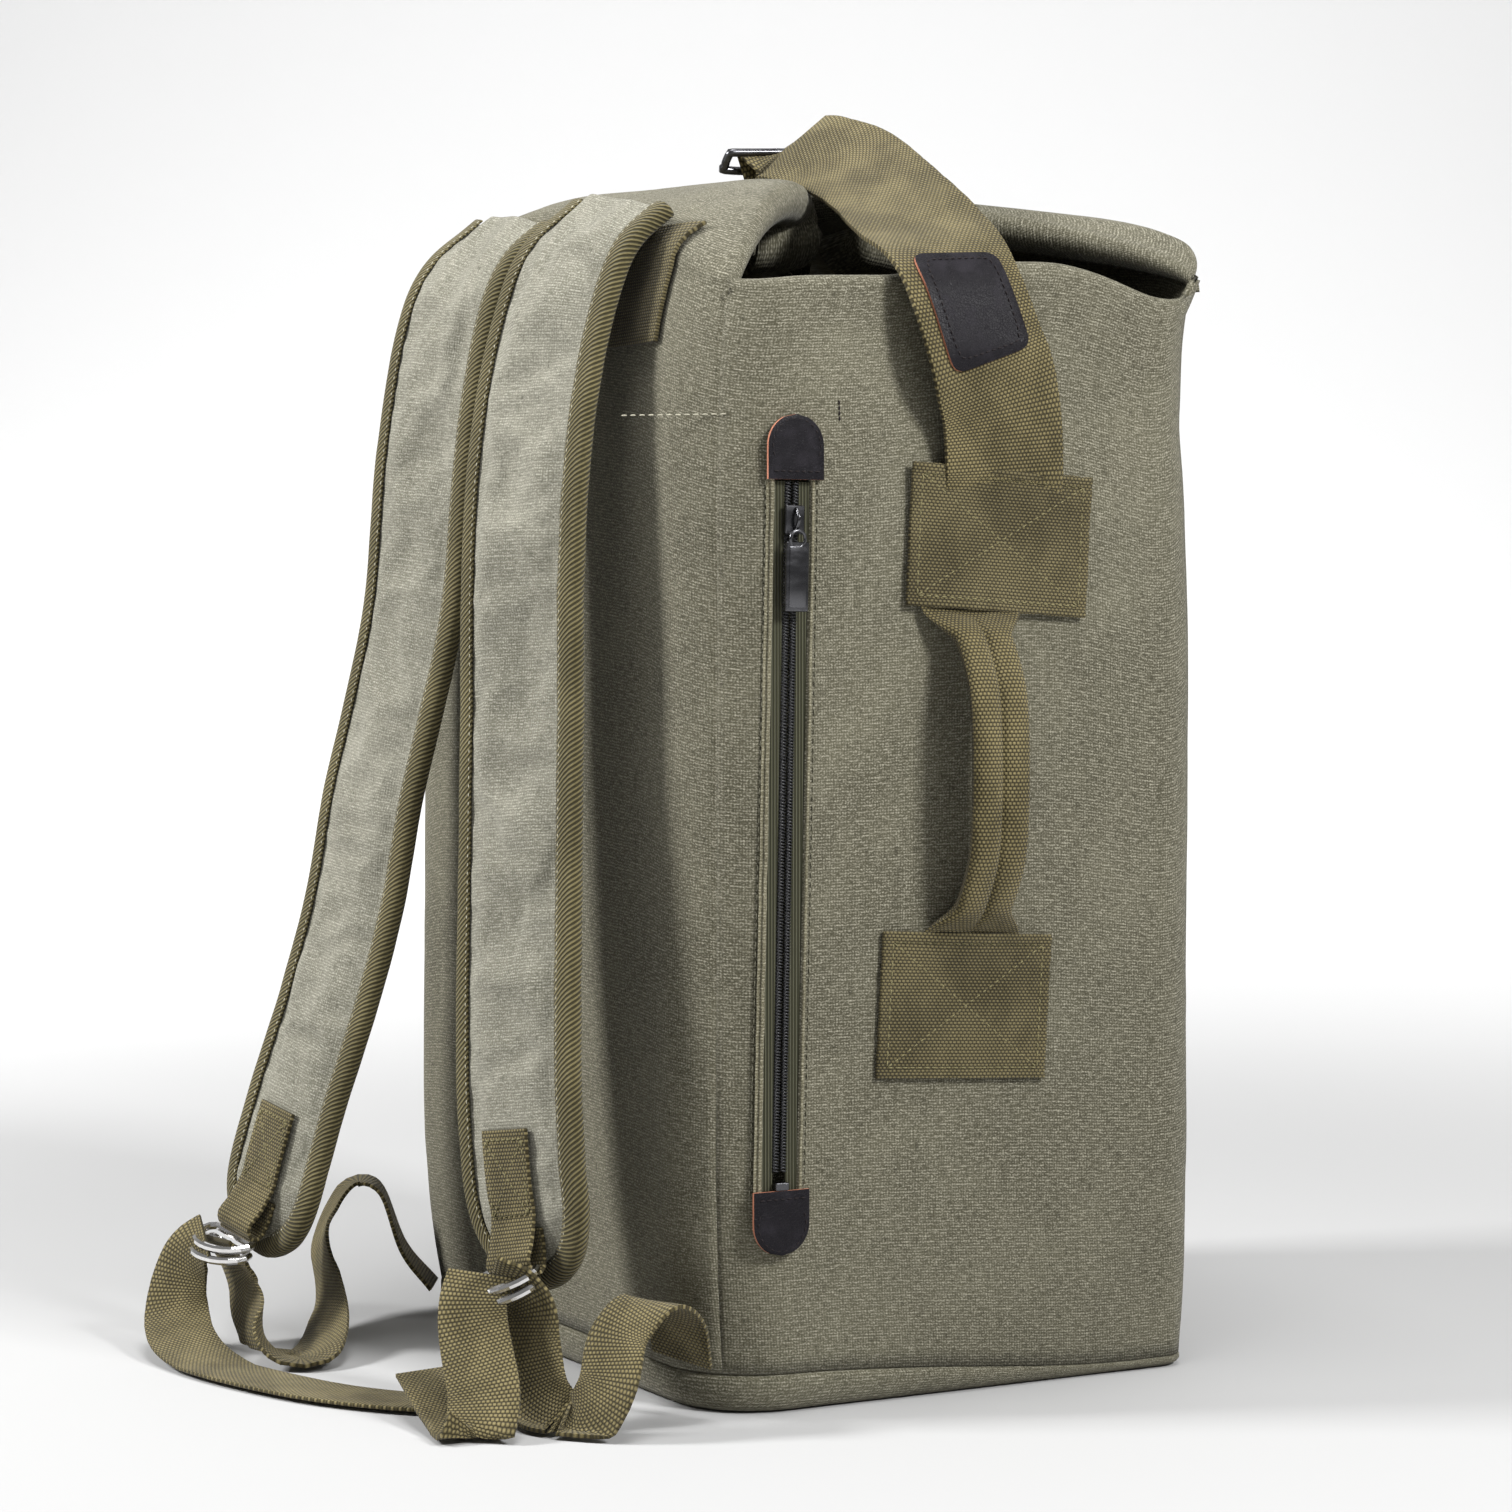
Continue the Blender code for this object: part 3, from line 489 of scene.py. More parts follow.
coil_black = coil_paint.done(coil_paint.mix(coil_speck, (0.010, 0.010, 0.011), (0.024, 0.024, 0.026)))
thread_olive = thread_paint("thread_olive", (0.23, 0.205, 0.105))
thread_light = thread_paint("thread_light", (0.50, 0.475, 0.37))
thread_dark = thread_paint("thread_dark", (0.022, 0.017, 0.018))
thread_canvas = thread_paint("thread_canvas", (0.20, 0.19, 0.135))


# ---------------------------------------------------------------- body shell
def declare(ob, body, slot, *nodes):
    """Says which body a piece rides and hides the CAD nodes it stands for; the material slot argument is not
    used.
    """
    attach(ob, body)
    if nodes:
        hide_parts(*nodes)
    return ob


def half_sizes(z):
    """Half width, front depth and back depth of the body at a height."""
    zs = (0.0, 0.0175, 0.05, 0.09, 0.30, 0.37, 0.42, 0.450, 0.476)
    side = fit_curve(z, zs, (8, 5.5, 2.5, 0.3, 0, 0.2, 2.5, 6, 8))
    front = fit_curve(z, zs, (6, 4.5, 2.5, 1, 0, 2.0, 4.5, 1.0, -8.0))
    rear = fit_curve(z, zs, (8, 5.5, 2, 0, 0, 0.5, 3, 8, 18))
    return HALF_X - side * MM, HALF_Y - front * MM, HALF_Y - rear * MM


HANDLE_SIDE, FRONT, PLAIN_SIDE, BACK = range(4)
CORNER_KEYS = ("near", "front", "far", "back")
ARC_STEPS, FLAT_STEPS = 7, 66
ROWS = 96
TOP_ROLL = 0.007
UP = np.array((0.0, 0.0, 1.0))


def side_line(sd, z):
    """Points of one wall at height z, from the middle of one corner to the middle of the next."""
    hx, front, rear = half_sizes(z)
    corners = [(hx, -rear), (hx, front), (-hx, front), (-hx, -rear)]
    arcs = []
    for end, k in ((0, sd), (1, (sd + 1) % 4)):
        (x, y), r = corners[k], CORNER[CORNER_KEYS[k]]
        if CORNER_KEYS[k] == "front":
            r = np.interp(z, (0, 0.02, 0.08, 0.4, 0.47), (0.012, 0.014, 0.024, 0.024, 0.016))
        cx, cy = x - math.copysign(r, x), y - math.copysign(r, y)
        start = -90 + 90 * k + (45 if end == 0 else 0)
        turns = [math.radians(start + 45 * i / ARC_STEPS) for i in range(ARC_STEPS + 1)]
        arcs.append([(cx + r * math.cos(a), cy + r * math.sin(a)) for a in turns])
    a, b = np.array(arcs[0][-1]), np.array(arcs[1][0])
    mids = [tuple(a + (b - a) * k / FLAT_STEPS) for k in range(1, FLAT_STEPS)]
    return np.array(arcs[0] + mids + arcs[1])


def rim_height(y):
    """Top of the rolled rim over the handle side."""
    return fit_curve(y, (-0.113, -0.105, -0.090, -0.078, -0.048, -0.031, 0.017, 0.046, 0.066, 0.102, 0.117,
                         0.123),
                     (0.4575, 0.4535, 0.4517, 0.4530, 0.4550, 0.457, 0.464, 0.4650, 0.4625, 0.453, 0.459,
                      0.473))


def wrinkle(p):
    """Soft dents and folds of a filled canvas bag, in metres along the normal."""
    broad = noise3(p * (1, 1, 0.55), 0.11, 3) * 1.5 + noise3(p * (1, 1, 0.8), 0.055, 5) * 0.7
    fine = noise3(p * (1, 1, 1.3), 0.024, 8) * 0.28 + noise3(p, 0.011, 9) * 0.1
    slack = np.interp(p[..., 2], (0.0, 0.03, 0.10, 0.30, 0.44, 0.47), (0.2, 0.7, 0.8, 0.8, 1.3, 0.7))
    return (broad + fine) * slack * MM


def dent(p, at, size, depth):
    """A smooth hollow (or swelling) about a point."""
    d = ((p - np.array(at)) / np.array(size)) ** 2
    return -depth * np.exp(-d.sum(-1))


def base_seam(line):
    """Height of the seam round the base: the canvas sags over it towards the front near corner."""
    spot = np.exp(-((line[:, 0] - 0.154) / 0.09) ** 2) * ease((line[:, 1] + 0.085) / 0.17)
    return BASE_BAND - 0.0115 * spot


def wall(sd, top):
    """Point grid of one wall from the base seam up to `top`, a height for each column."""
    line = side_line(sd, 0.25)
    share = np.linspace(0, 1, ROWS) ** 0.9
    low = base_seam(line)
    heights = low + share[:, None] * (top - low)[None, :]
    g = np.zeros((ROWS, len(line), 3))
    table_z = np.linspace(0, 0.50, 101)
    lines = np.array([side_line(sd, z) for z in table_z])
    for c in range(len(line)):
        for k in (0, 1):
            g[:, c, k] = np.interp(heights[:, c], table_z, lines[:, c, k])
    g[..., 2] = heights
    return g


def crest(sd, a):
    """Height of the front or back wall where its flap starts; a is 1 on the near side, -1 far."""
    heights = ((0.458, 0.474, 0.484, 0.485, 0.479, 0.467) if sd == FRONT
               else (0.462, 0.486, 0.489, 0.476, 0.466, 0.450))
    return fit_curve(a, (-1, -0.8, -0.4, 0.2, 0.7, 1), heights)


FLAP_STEPS = 33
FLAP_HEM = 0.007


def flap_sheet(sd, base):
    """The flap from the top of its wall to its hem: rises, turns in over the mouth and rolls under."""
    front = sd == FRONT
    inward = np.array([0, -1 if front else 1, 0])
    cols = base.shape[0]
    a = np.linspace(1, -1, cols) if front else np.linspace(-1, 1, cols)
    mid = np.stack([0.040 * a - (0 if front else 0.008) * np.clip(a, 0, 1),
                    np.full(cols, 0.018 if front else -0.014),
                    (0.5070 if front else 0.5085) - (0.004 if front else 0.002) * np.abs(a) ** 3], 1)
    rise = 0.013 * (1 - 0.25 * np.abs(a)) + (0.004 if front else 0.003)
    p1 = base + UP * rise[:, None]
    p2 = base + (mid - base) * 0.42
    p2[:, 2] = mid[:, 2] - (0.012 if front else 0.0)
    rows = []
    for t in np.linspace(0.0, 1, FLAP_STEPS + 1)[1:]:
        u = 1 - t
        rows.append(base * u ** 3 + 3 * p1 * t * u ** 2 + 3 * p2 * t ** 2 * u + mid * t ** 3)
    last = rows[-1]
    for turn in np.radians((25, 50, 75, 100, 125, 150, 175)):
        rows.append(last + inward * FLAP_HEM * math.sin(turn) - UP * FLAP_HEM * (1 - math.cos(turn)))
    tail = rows[-1]
    for k in (1, 2, 3):
        rows.append(tail - (inward + UP * 0.15) * 0.008 * k)
    return np.array(rows)


def flap_margin(g, end, roll):
    """Side edge of a flap rolled under; `end` is its first (0) or last (-1) column."""
    share = np.clip(np.arange(len(g)) / FLAP_STEPS, 0, 1)
    radius = (2.5 + roll * share ** 0.8) * MM
    edge = g[:, end]
    along = unit(np.gradient(edge, axis=0))
    out = edge - g[:, 3 if end == 0 else -4]
    out = out - along * (out * along).sum(1)[:, None]
    out[:, 2] = 0
    out = unit(out)
    margin = []
    for turn in np.radians((18, 36, 54, 72, 90, 110, 130, 150, 170, 190)):
        margin.append(edge + out * (radius * math.sin(turn))[:, None]
                      - UP * (radius * (1 - math.cos(turn)))[:, None])
    rolled = margin[-1]
    for k in (1, 2):
        margin.append(rolled - out * (0.010 * k * share)[:, None] - UP * (0.001 * k))
    return np.stack(margin[::-1] if end == 0 else margin, 1)


def flap(sd, base):
    """A mouth flap and its two rolled side margins, as three grids."""
    g = flap_sheet(sd, base)
    roll = 5.5 if sd == FRONT else 8.0
    return flap_margin(g, 0, roll), g, flap_margin(g, -1, roll)


def wall_top(sd):
    """Height of a wall's top edge for each of its columns."""
    y = side_line(sd, 0.45)[:, 1]
    share = np.linspace(0, 1, len(y))
    if sd == HANDLE_SIDE:
        return np.maximum(rim_height(y) - TOP_ROLL * 0.75, 0.44)
    if sd == PLAIN_SIDE:
        return 0.457 + 0.004 * np.sin(y * 38 + 1.0) - TOP_ROLL * 0.75
    return crest(sd, 1 - 2 * share if sd == FRONT else -1 + 2 * share)


def level_corners(tops):
    """Neighbouring walls meet at one height at each corner seam."""
    fade = np.linspace(1, 0, 9) ** 2
    for sd in range(4):
        this, following = tops[sd], tops[(sd + 1) % 4]
        joint = 0.5 * (this[-1] + following[0])
        this[-9:] += (joint - this[-1]) * fade[::-1]
        following[:9] += (joint - following[0]) * fade


def rolled_rim(sd, last):
    """Rows that roll a side wall's top inwards and down, dying out at the front corner."""
    cols = len(last)
    radius = TOP_ROLL * (0.75 + 0.35 * ease((0.1 - np.abs(last[:, 1])) / 0.06))
    from_corner = np.arange(cols)[::-1] if sd == HANDLE_SIDE else np.arange(cols)
    radius *= 0.08 + 0.92 * ease(from_corner / 10)
    aside = np.zeros((cols, 3))
    aside[:, 1] = -np.sign(last[:, 1]) * (1 - ease(from_corner / 14))
    inward = np.array([-1.0 if sd == HANDLE_SIDE else 1.0, 0, 0])
    rows = [last + inward * (radius * (1 - math.cos(turn)))[:, None] + UP * (radius * math.sin(turn))[:, None]
            for turn in np.radians((20, 40, 60, 80, 100, 120, 140, 160, 180))]
    tail = rows[-1]
    rows += [tail - UP * 0.009 * k + inward * 0.0006 * k + aside * 0.0045 * k for k in (1, 2, 3, 4, 5)]
    return np.array(rows)


def lean_to_slot(g):
    """Slides columns sideways so that two run down the edges of the leaning zip slot; returns those two."""
    y0 = g[ROWS // 2, :, 1]
    left = int(np.argmin(np.abs(y0 - (ZIP_CENTRE[0] - ZIP_SLOT / 2))))
    right = int(np.argmin(np.abs(y0 - (ZIP_CENTRE[0] + ZIP_SLOT / 2))))
    reach = ZIP_LENGTH / 2 + 0.03
    for row in g:
        z = np.clip(row[:, 2].mean(), ZIP_CENTRE[1] - reach, ZIP_CENTRE[1] + reach)
        c = ZIP_CENTRE[0] - math.tan(ZIP_LEAN) * (z - ZIP_CENTRE[1])
        x, y = row[:, 0].copy(), row[:, 1].copy()
        moved = y + np.interp(np.arange(len(y)), (0, left, right, right + 24),
                              (0, c - ZIP_SLOT / 2 - y[left], c + ZIP_SLOT / 2 - y[right], 0))
        row[:, 0], row[:, 1] = np.interp(moved, y, x), moved
    return left, right


def shape_wall(g, sd):
    """Wrinkles a wall, and dents it where the straps and the handle draw it in."""
    push = wrinkle(g)
    if sd == HANDLE_SIDE:
        push += dent(g, (0.154, -0.030, 0.425), (0.05, 0.022, 0.035), 0.0035)
        push += dent(g, (0.154, 0.060, 0.405), (0.05, 0.030, 0.030), 0.0030)
        push += dent(g, (0.154, -0.060, 0.30), (0.05, 0.02, 0.10), 0.0012)
        push += dent(g, (0.154, 0.012, 0.255), (0.05, 0.05, 0.06), 0.0010)
        push += dent(g, (0.154, 0.095, 0.33), (0.05, 0.02, 0.06), 0.0012)
        by_zip = np.exp(-((g[..., 1] - ZIP_CENTRE[0]) / 0.026) ** 2) * ease((0.40 - g[..., 2]) / 0.03)
        at_patches = sum(np.exp(-((g[..., 2] - z) / 0.035) ** 2) for z in (0.35, 0.16))
        held = by_zip + np.exp(-((g[..., 1] - 0.006) / 0.055) ** 2) * at_patches
        push *= 1 - 0.9 * np.clip(held, 0, 1)
    if sd == BACK:
        push -= 0.002 * np.exp(-((g[..., 2] - 0.25) / 0.12) ** 2)
    return g + grid_normals(g) * push[..., None]


def seal_corners(walls):
    """Columns that meet at a corner seam take the same points."""
    for sd in range(4):
        a, b = walls[sd], walls[(sd + 1) % 4]
        mean = 0.5 * (a[:ROWS, -1] + b[:ROWS, 0])
        for g, col, step in ((a, -1, -1), (b, 0, 1)):
            move = mean - g[:ROWS, col]
            for k in range(8):
                g[:ROWS, col + step * k] += move * (1 - k / 8) ** 2


def slot_rows(g, left):
    """First and last row of the zip slot."""
    z = g[:ROWS, left, 2]
    return [int(np.argmin(np.abs(z - (ZIP_CENTRE[1] + half)))) for half in (-ZIP_LENGTH / 2, ZIP_LENGTH / 2)]


def build_side_wall(sd, g, slot):
    """A wall that ends in its rolled rim; the handle side has the zip slot left open."""
    if sd == PLAIN_SIDE:
        ob = cloth_grid("bag_plain_side", g, canvas, CANVAS)
        return declare(ob, "bag", "canvas", "plain_side_panel", "mouth_facing_plain_side")
    left, right = slot
    low, high = slot_rows(g, left)
    ob = cloth_grid("bag_handle_side", g, canvas, CANVAS,
                    keep=lambda r, c: not (left <= c < right and low <= r < high))
    return declare(ob, "bag", "canvas", "handle_side_panel", "mouth_facing_handle_side")


def build_flap_wall(sd, g, grids):
    """A wall with its flap; the flap's side margins follow its wrinkled edges."""
    first, sheet, second = grids
    margins = (first + (g[ROWS:, 0] - sheet[:, 0])[:, None], second + (g[ROWS:, -1] - sheet[:, -1])[:, None])
    rows, cols = g.shape[:2]
    flap_rows, extra = margins[0].shape[:2]
    thread = grid_thread(g)
    up_thread = np.repeat(thread[ROWS:, :1, 1], extra, 1)
    beyond = np.arange(1, extra + 1) * 2.2 * MM
    side_threads = (np.stack([thread[ROWS:, :1, 0] - beyond[::-1], up_thread], -1),
                    np.stack([thread[ROWS:, -1:, 0] + beyond, up_thread], -1))
    verts = np.vstack([part.reshape(-1, 3) for part in (g, *margins)])
    threads = np.vstack([part.reshape(-1, 2) for part in (thread, *side_threads)])
    base = rows * cols
    second = base + flap_rows * extra
    faces = grid_faces(rows, cols) + grid_faces(flap_rows, extra, base) + grid_faces(flap_rows, extra, second)
    for r in range(flap_rows - 1):
        first_col = [(ROWS + r + i) * cols for i in (0, 1)]
        outer = [base + (r + i + 1) * extra - 1 for i in (0, 1)]
        faces.append((outer[0], first_col[0], first_col[1], outer[1]))
        last_col = [k + cols - 1 for k in first_col]
        outer = [second + (r + i) * extra for i in (0, 1)]
        faces.append((last_col[0], outer[0], outer[1], last_col[1]))
    which = "front" if sd == FRONT else "back"
    ob = make("bag_" + which, verts, faces, canvas, threads)
    m = ob.modifiers.new("Solidify", "SOLIDIFY")
    m.thickness, m.offset = CANVAS, -1.0
    return declare(ob, "bag", "canvas", which + "_panel", "mouth_fold_" + which)


def build_body():
    """Four canvas walls: two end in a rolled rim, two carry on as the mouth flaps."""
    tops = [wall_top(sd) for sd in range(4)]
    level_corners(tops)
    grids = [wall(sd, top) for sd, top in enumerate(tops)]
    slot = lean_to_slot(grids[HANDLE_SIDE])
    flaps = {sd: flap(sd, grids[sd][-1]) for sd in (FRONT, BACK)}
    for sd, g in enumerate(grids):
        more = flaps[sd][1] if sd in flaps else rolled_rim(sd, g[-1])
        grids[sd] = shape_wall(np.concatenate([g, more]), sd)
    seal_corners(grids)
    for sd, g in enumerate(grids):
        if sd in flaps:
            build_flap_wall(sd, g, flaps[sd])
        else:
            build_side_wall(sd, g, slot)
    low, high = slot_rows(grids[HANDLE_SIDE], slot[0])
    return grids, [grids[HANDLE_SIDE][low:high + 1, k].copy() for k in slot]


shaped, slot_edges = build_body()


# ---------------------------------------------------------------- placing things on the shaped canvas
def on_wall(sd, across, z, lift=0.0):
    """Points on a shaped wall, with normals, at a height and a place across it (Y on the sides, else X)."""
    g = shaped[sd]
    n = grid_normals(g)
    k = 1 if sd in (HANDLE_SIDE, PLAIN_SIDE) else 0
    flat, nn = g.reshape(-1, 3), n.reshape(-1, 3)
    across, z = np.broadcast_arrays(np.asarray(across, float), np.asarray(z, float))
    out, normals = np.zeros(across.shape + (3,)), np.zeros(across.shape + (3,))
    for i in np.ndindex(across.shape):
        near = np.argmin((flat[:, k] - across[i]) ** 2 + (flat[:, 2] - z[i]) ** 2)
        v, m = flat[near], nn[near]
        p = v.copy()
        p[k], p[2] = across[i], z[i]
        p[1 - k] = v[1 - k] - (m[k] * (p[k] - v[k]) + m[2] * (p[2] - v[2])) / (m[1 - k] or 1e-9)
        out[i], normals[i] = p + m * lift, m
    return out, normals


# ---------------------------------------------------------------- shoulder straps
# each strap's centre line from its sewn top to its foot, and the heading of its width in degrees
PADS = {
    "right": dict(yaw=12, path=[(0.0580, -0.1090, 0.4880), (0.0575, -0.1290, 0.4700),
                                (0.0575, -0.1400, 0.4450),
                                (0.0600, -0.1500, 0.4070), (0.0625, -0.1560, 0.3660),
                                (0.0640, -0.1585, 0.3250),
                                (0.0660, -0.1595, 0.2850), (0.0700, -0.1620, 0.2440),
                                (0.0740, -0.1645, 0.2040),
                                (0.0800, -0.1680, 0.1650), (0.0860, -0.1705, 0.1250),
                                (0.0920, -0.1700, 0.0860),
                                (0.0980, -0.1640, 0.0520)]),
    "left": dict(yaw=8, path=[(-0.0460, -0.1090, 0.4900), (-0.0475, -0.1290, 0.4720),
                              (-0.0500, -0.1400, 0.4450),
                              (-0.0550, -0.1475, 0.3920), (-0.0600, -0.1515, 0.3266),
                              (-0.0660, -0.1585, 0.2827),
                              (-0.0700, -0.1680, 0.2388), (-0.0730, -0.1750, 0.1950),
                              (-0.0770, -0.1860, 0.1510),
                              (-0.0820, -0.1990, 0.1072), (-0.0860, -0.2090, 0.0678),
                              (-0.0890, -0.2130, 0.0420)]),
}


PAD_STEP = 0.0042


def pad_line(spec):
    """Centre line of a strap with its directions, distance along it and half width, round at the foot."""
    c = resample(spline(spec["path"], 8), PAD_STEP)
    t = unit(np.gradient(c, axis=0))
    w = np.array([math.cos(math.radians(spec["yaw"])), math.sin(math.radians(spec["yaw"])), 0.0])
    w = unit(w - t * (t @ w)[:, None])
    s = run_length(c)
    past_end = np.clip(1 - (s[-1] - s) / PAD_HALF, 0, 1)
    h = PAD_HALF * np.sqrt(np.maximum(1 - past_end ** 2.3, 0.03))
    return c, t, w, np.cross(t, w), s, h


def pad_depth(inset):
    """Half thickness of a pad at a distance in from its edge: thin under the tape, then filled."""
    return 0.0023 + 0.0034 * ease((inset - 0.005) / 0.020)


def puff(ob, pinned, pressure, cap):
    """Lets the cloth of a closed pad swell and crease under a light inside pressure, then keeps the shape."""
    rest = np.array([v.co for v in ob.data.vertices])
    group = ob.vertex_groups.new(name="held")
    for i, weight in enumerate(pinned):
        group.add([i], float(weight), "REPLACE")
    cloth = ob.modifiers.new("Cloth", "CLOTH")
    cs = cloth.settings
    cs.quality, cs.mass = 6, 0.25
    cs.tension_stiffness = cs.compression_stiffness = 18
    cs.shear_stiffness, cs.bending_stiffness = 8, 0.6
    cs.use_pressure, cs.uniform_pressure_force = True, pressure
    cs.vertex_group_mass = "held"
    cs.effector_weights.gravity = 0
    cs.shrink_min = -0.035
    cloth.collision_settings.use_collision = False
    scene = bpy.context.scene
    for f in range(1, 21):
        scene.frame_set(f)
    final = ob.evaluated_get(bpy.context.evaluated_depsgraph_get()).to_mesh()
    co = np.array([v.co for v in final.vertices])
    move = co - rest
    size = np.linalg.norm(move, axis=1, keepdims=True)
    move *= np.minimum(1, cap / np.maximum(size, 1e-9))
    ob.modifiers.remove(cloth)
    scene.frame_set(1)
    ob.data.vertices.foreach_set("co", (rest + move).astype(np.float32).ravel())
    ob.data.update()


def build_pad(side, line):
    """Quilted pad of a strap: a closed canvas bag, full in the middle and flat under its binding."""
    c, _, w, n, s, h = line
    q = np.linspace(-1, 1, 21)
    inset = (1 - np.abs(q))[None, :] * h[:, None]
    across = q[None, :] * h[:, None]
    mid = c[:, None] + w[:, None] * across[..., None]
    wave = noise3(mid, 0.030, 21) * 0.0009 + noise3(mid * (1, 1, 0.6), 0.060, 22) * 0.0012
    wave += noise3(mid * (1, 1, 2.2), 0.014, 23) * 0.00035
    soft = ease((inset - 0.008) / 0.01)
    depth = pad_depth(inset)
    face = mid + n[:, None] * (depth + wave * soft)[..., None]
    rear = mid - n[:, None] * (depth * 0.8 - wave * soft * 0.4)[..., None]
    verts = np.vstack([face.reshape(-1, 3), rear.reshape(-1, 3)])
    thread = grid_thread(face).reshape(-1, 2)
    faces = closed_slab_faces(*face.shape[:2])
    pad = make("pad_" + side, verts, faces, pad_canvas, np.vstack([thread, thread]))
    under_tab = ease((0.090 - (s[-1] - s)) / 0.015)[:, None] * ease((0.023 - np.abs(across)) / 0.006)
    pinned = np.tile(np.maximum(1 - ease((inset - 0.007) / 0.006), under_tab).ravel(), 2)
    puff(pad, pinned, 4.0, 0.004)
    m = pad.modifiers.new("Subdivision", "SUBSURF")
    m.levels = m.render_levels = 1
    declare(pad, side + "_strap", "pad_canvas", "pad_core_" + side, "pad_face_" + side, "pad_lining_" + side)


def build_binding(side, line):
    """Tape folded over the edge of a pad, down one side, round the end and up the other."""
    c, _, w, n, _, h = line
    foot = np.linspace(1, -1, 9)[1:-1]
    edge = np.vstack([c + w * h[:, None], c[-1] + w[-1] * h[-1] * foot[:, None], (c - w * h[:, None])[::-1]])
    face_n = np.vstack([n, np.repeat(n[-1:], len(foot), 0), n[::-1]])
    both = resample(np.hstack([edge, face_n]), 0.0022)
    edge, face_n = both[:, :3], unit(both[:, 3:])
    for _ in range(6):
        edge[1:-1] = (edge[:-2] + 2 * edge[1:-1] + edge[2:]) / 4
    along = unit(np.gradient(edge, axis=0))
    out = unit(np.cross(along, face_n))
    if out[10] @ w[0] < 0:
        out = -out
    profile = [(-7.4, 3.05), (-5.0, 3.3), (-2.4, 3.45), (0.0, 3.1), (1.5, 2.1), (2.2, 0.7), (2.2, -0.7),
               (1.5, -2.1),
               (0.0, -3.0), (-2.4, -3.1), (-5.0, -2.8), (-7.4, -2.5)]
    ripple = noise3(edge, 0.012, 31) * 0.25 * MM
    rows = np.stack([edge + out * (a * MM + ripple)[:, None] + face_n * b * MM for a, b in profile], 1)
    if np.cross(rows[5, 1] - rows[5, 0], along[5]) @ face_n[5] > 0:
        rows = rows[:, ::-1]
    tape_ob = cloth_grid("pad_binding_tape_" + side, rows, binding, 0.7 * MM)
    declare(tape_ob, side + "_strap", "binding", "pad_binding_" + side)
    seam = edge - out * 6.1 * MM + face_n * 3.35 * MM
    sew = stitch_parts(seam, face_n, 2.4 * MM, 1.2 * MM, 0.38 * MM)
    declare(join_pieces("pad_binding_stitches_" + side, sew, thread_light), side + "_strap", "binding")


def ribbon(name, path, across, width, thickness, material, body, slot, nodes=(), cols=7, step=0.003,
           frayed=0.0,
           floor=False):
    """Webbing along a smooth path; `across` gives the direction of its width at each path point."""
    both = resample(np.hstack([spline(path, 10), spline(across, 10)]), step)
    c, w, n = web_frames(both[:, :3], both[:, 3:])
    q = np.linspace(-0.5, 0.5, cols)
    wave = noise3(c, 0.02, 41) * 0.25 * MM
    wide = np.interp(np.linspace(0, 1, len(c)), np.linspace(0, 1, np.size(width)), np.ravel(width))
    g = c[:, None] + w[:, None] * (q[None, :] * wide[:, None])[..., None] + (n * wave[:, None])[:, None]
    if frayed:
        g[:, (0, -1)] += w[:, None] * (noise3(g[:, (0, -1)], 0.002, 5) * frayed)[..., None]
    if floor:
        g[..., 2] = np.maximum(g[..., 2], FLOOR_GAP + thickness)
    ob = cloth_grid(name, g, material, thickness, offset=0.0, rim=thickness * 0.3)
    if body:
        declare(ob, body, slot, *nodes)
    elif nodes:
        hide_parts(*nodes)
    return ob, c, w, n


TAB_LIFT = 0.0078
TAB_RUN = (0.066, 0.026)


def build_ring_tab(side, line):
    """Webbing tab sewn on the face of the pad, then folded through the rings, with its box stitch."""
    c, t, w, n, s, _ = line
    body = side + "_strap"
    first, last = (int(np.searchsorted(s, s[-1] - d)) for d in TAB_RUN)
    flat = range(first, last + 1, 2)
    low = c[last] + n[last] * TAB_LIFT
    fold = [(6.0, 3.5), (13.5, 7.5), (18.5, 5.0), (17.5, 1.0), (10.0, -1.2), (2.0, -2.0)]
    path = [c[i] + n[i] * TAB_LIFT for i in flat]
    path += [low + t[last] * down * MM + n[last] * out * MM for down, out in fold]
    across = [w[i] for i in flat] + [w[last]] * len(fold)
    ribbon("ring_loop_" + side, path, across, 0.029, 1.7 * MM, webbing, body, "webbing",
           ("ring_tab_" + side,),
           step=0.0022)
    top, foot = first + 1, last - 1
    corners = [(top, -1), (top, 1), (foot, 1), (foot, -1), (top, -1), (foot, 1), (foot, -1), (top, 1)]
    places = [c[i] + w[i] * q * 0.012 + n[i] * (TAB_LIFT + 0.9 * MM) for i, q in corners]
    sew = []
    for (i, _), a, b in zip(corners, places, places[1:]):
        sew += stitch_parts(np.linspace(a, b, 12), np.repeat(n[i][None], 12, 0), 2.2 * MM, 1.1 * MM,
                            0.36 * MM)
    declare(join_pieces("ring_loop_stitches_" + side, sew, thread_olive), body, "webbing")


def build_strap_band():
    """Band sewn across the back wall over the tops of the straps."""
    x, z = np.meshgrid(np.linspace(-0.094, 0.108, 45), np.linspace(0.4285, 0.476, 12))
    places, _ = on_wall(BACK, x, z, 1.2 * MM)
    band = cloth_grid("strap_band_webbing", places, patch_webbing, 2.0 * MM, offset=1.0, rim=0.5 * MM)
    declare(band, "bag", "webbing", "strap_anchor_band")


for strap_side, spec in PADS.items():
    pad = pad_line(spec)
    build_pad(strap_side, pad)
    build_binding(strap_side, pad)
    build_ring_tab(strap_side, pad)
build_strap_band()

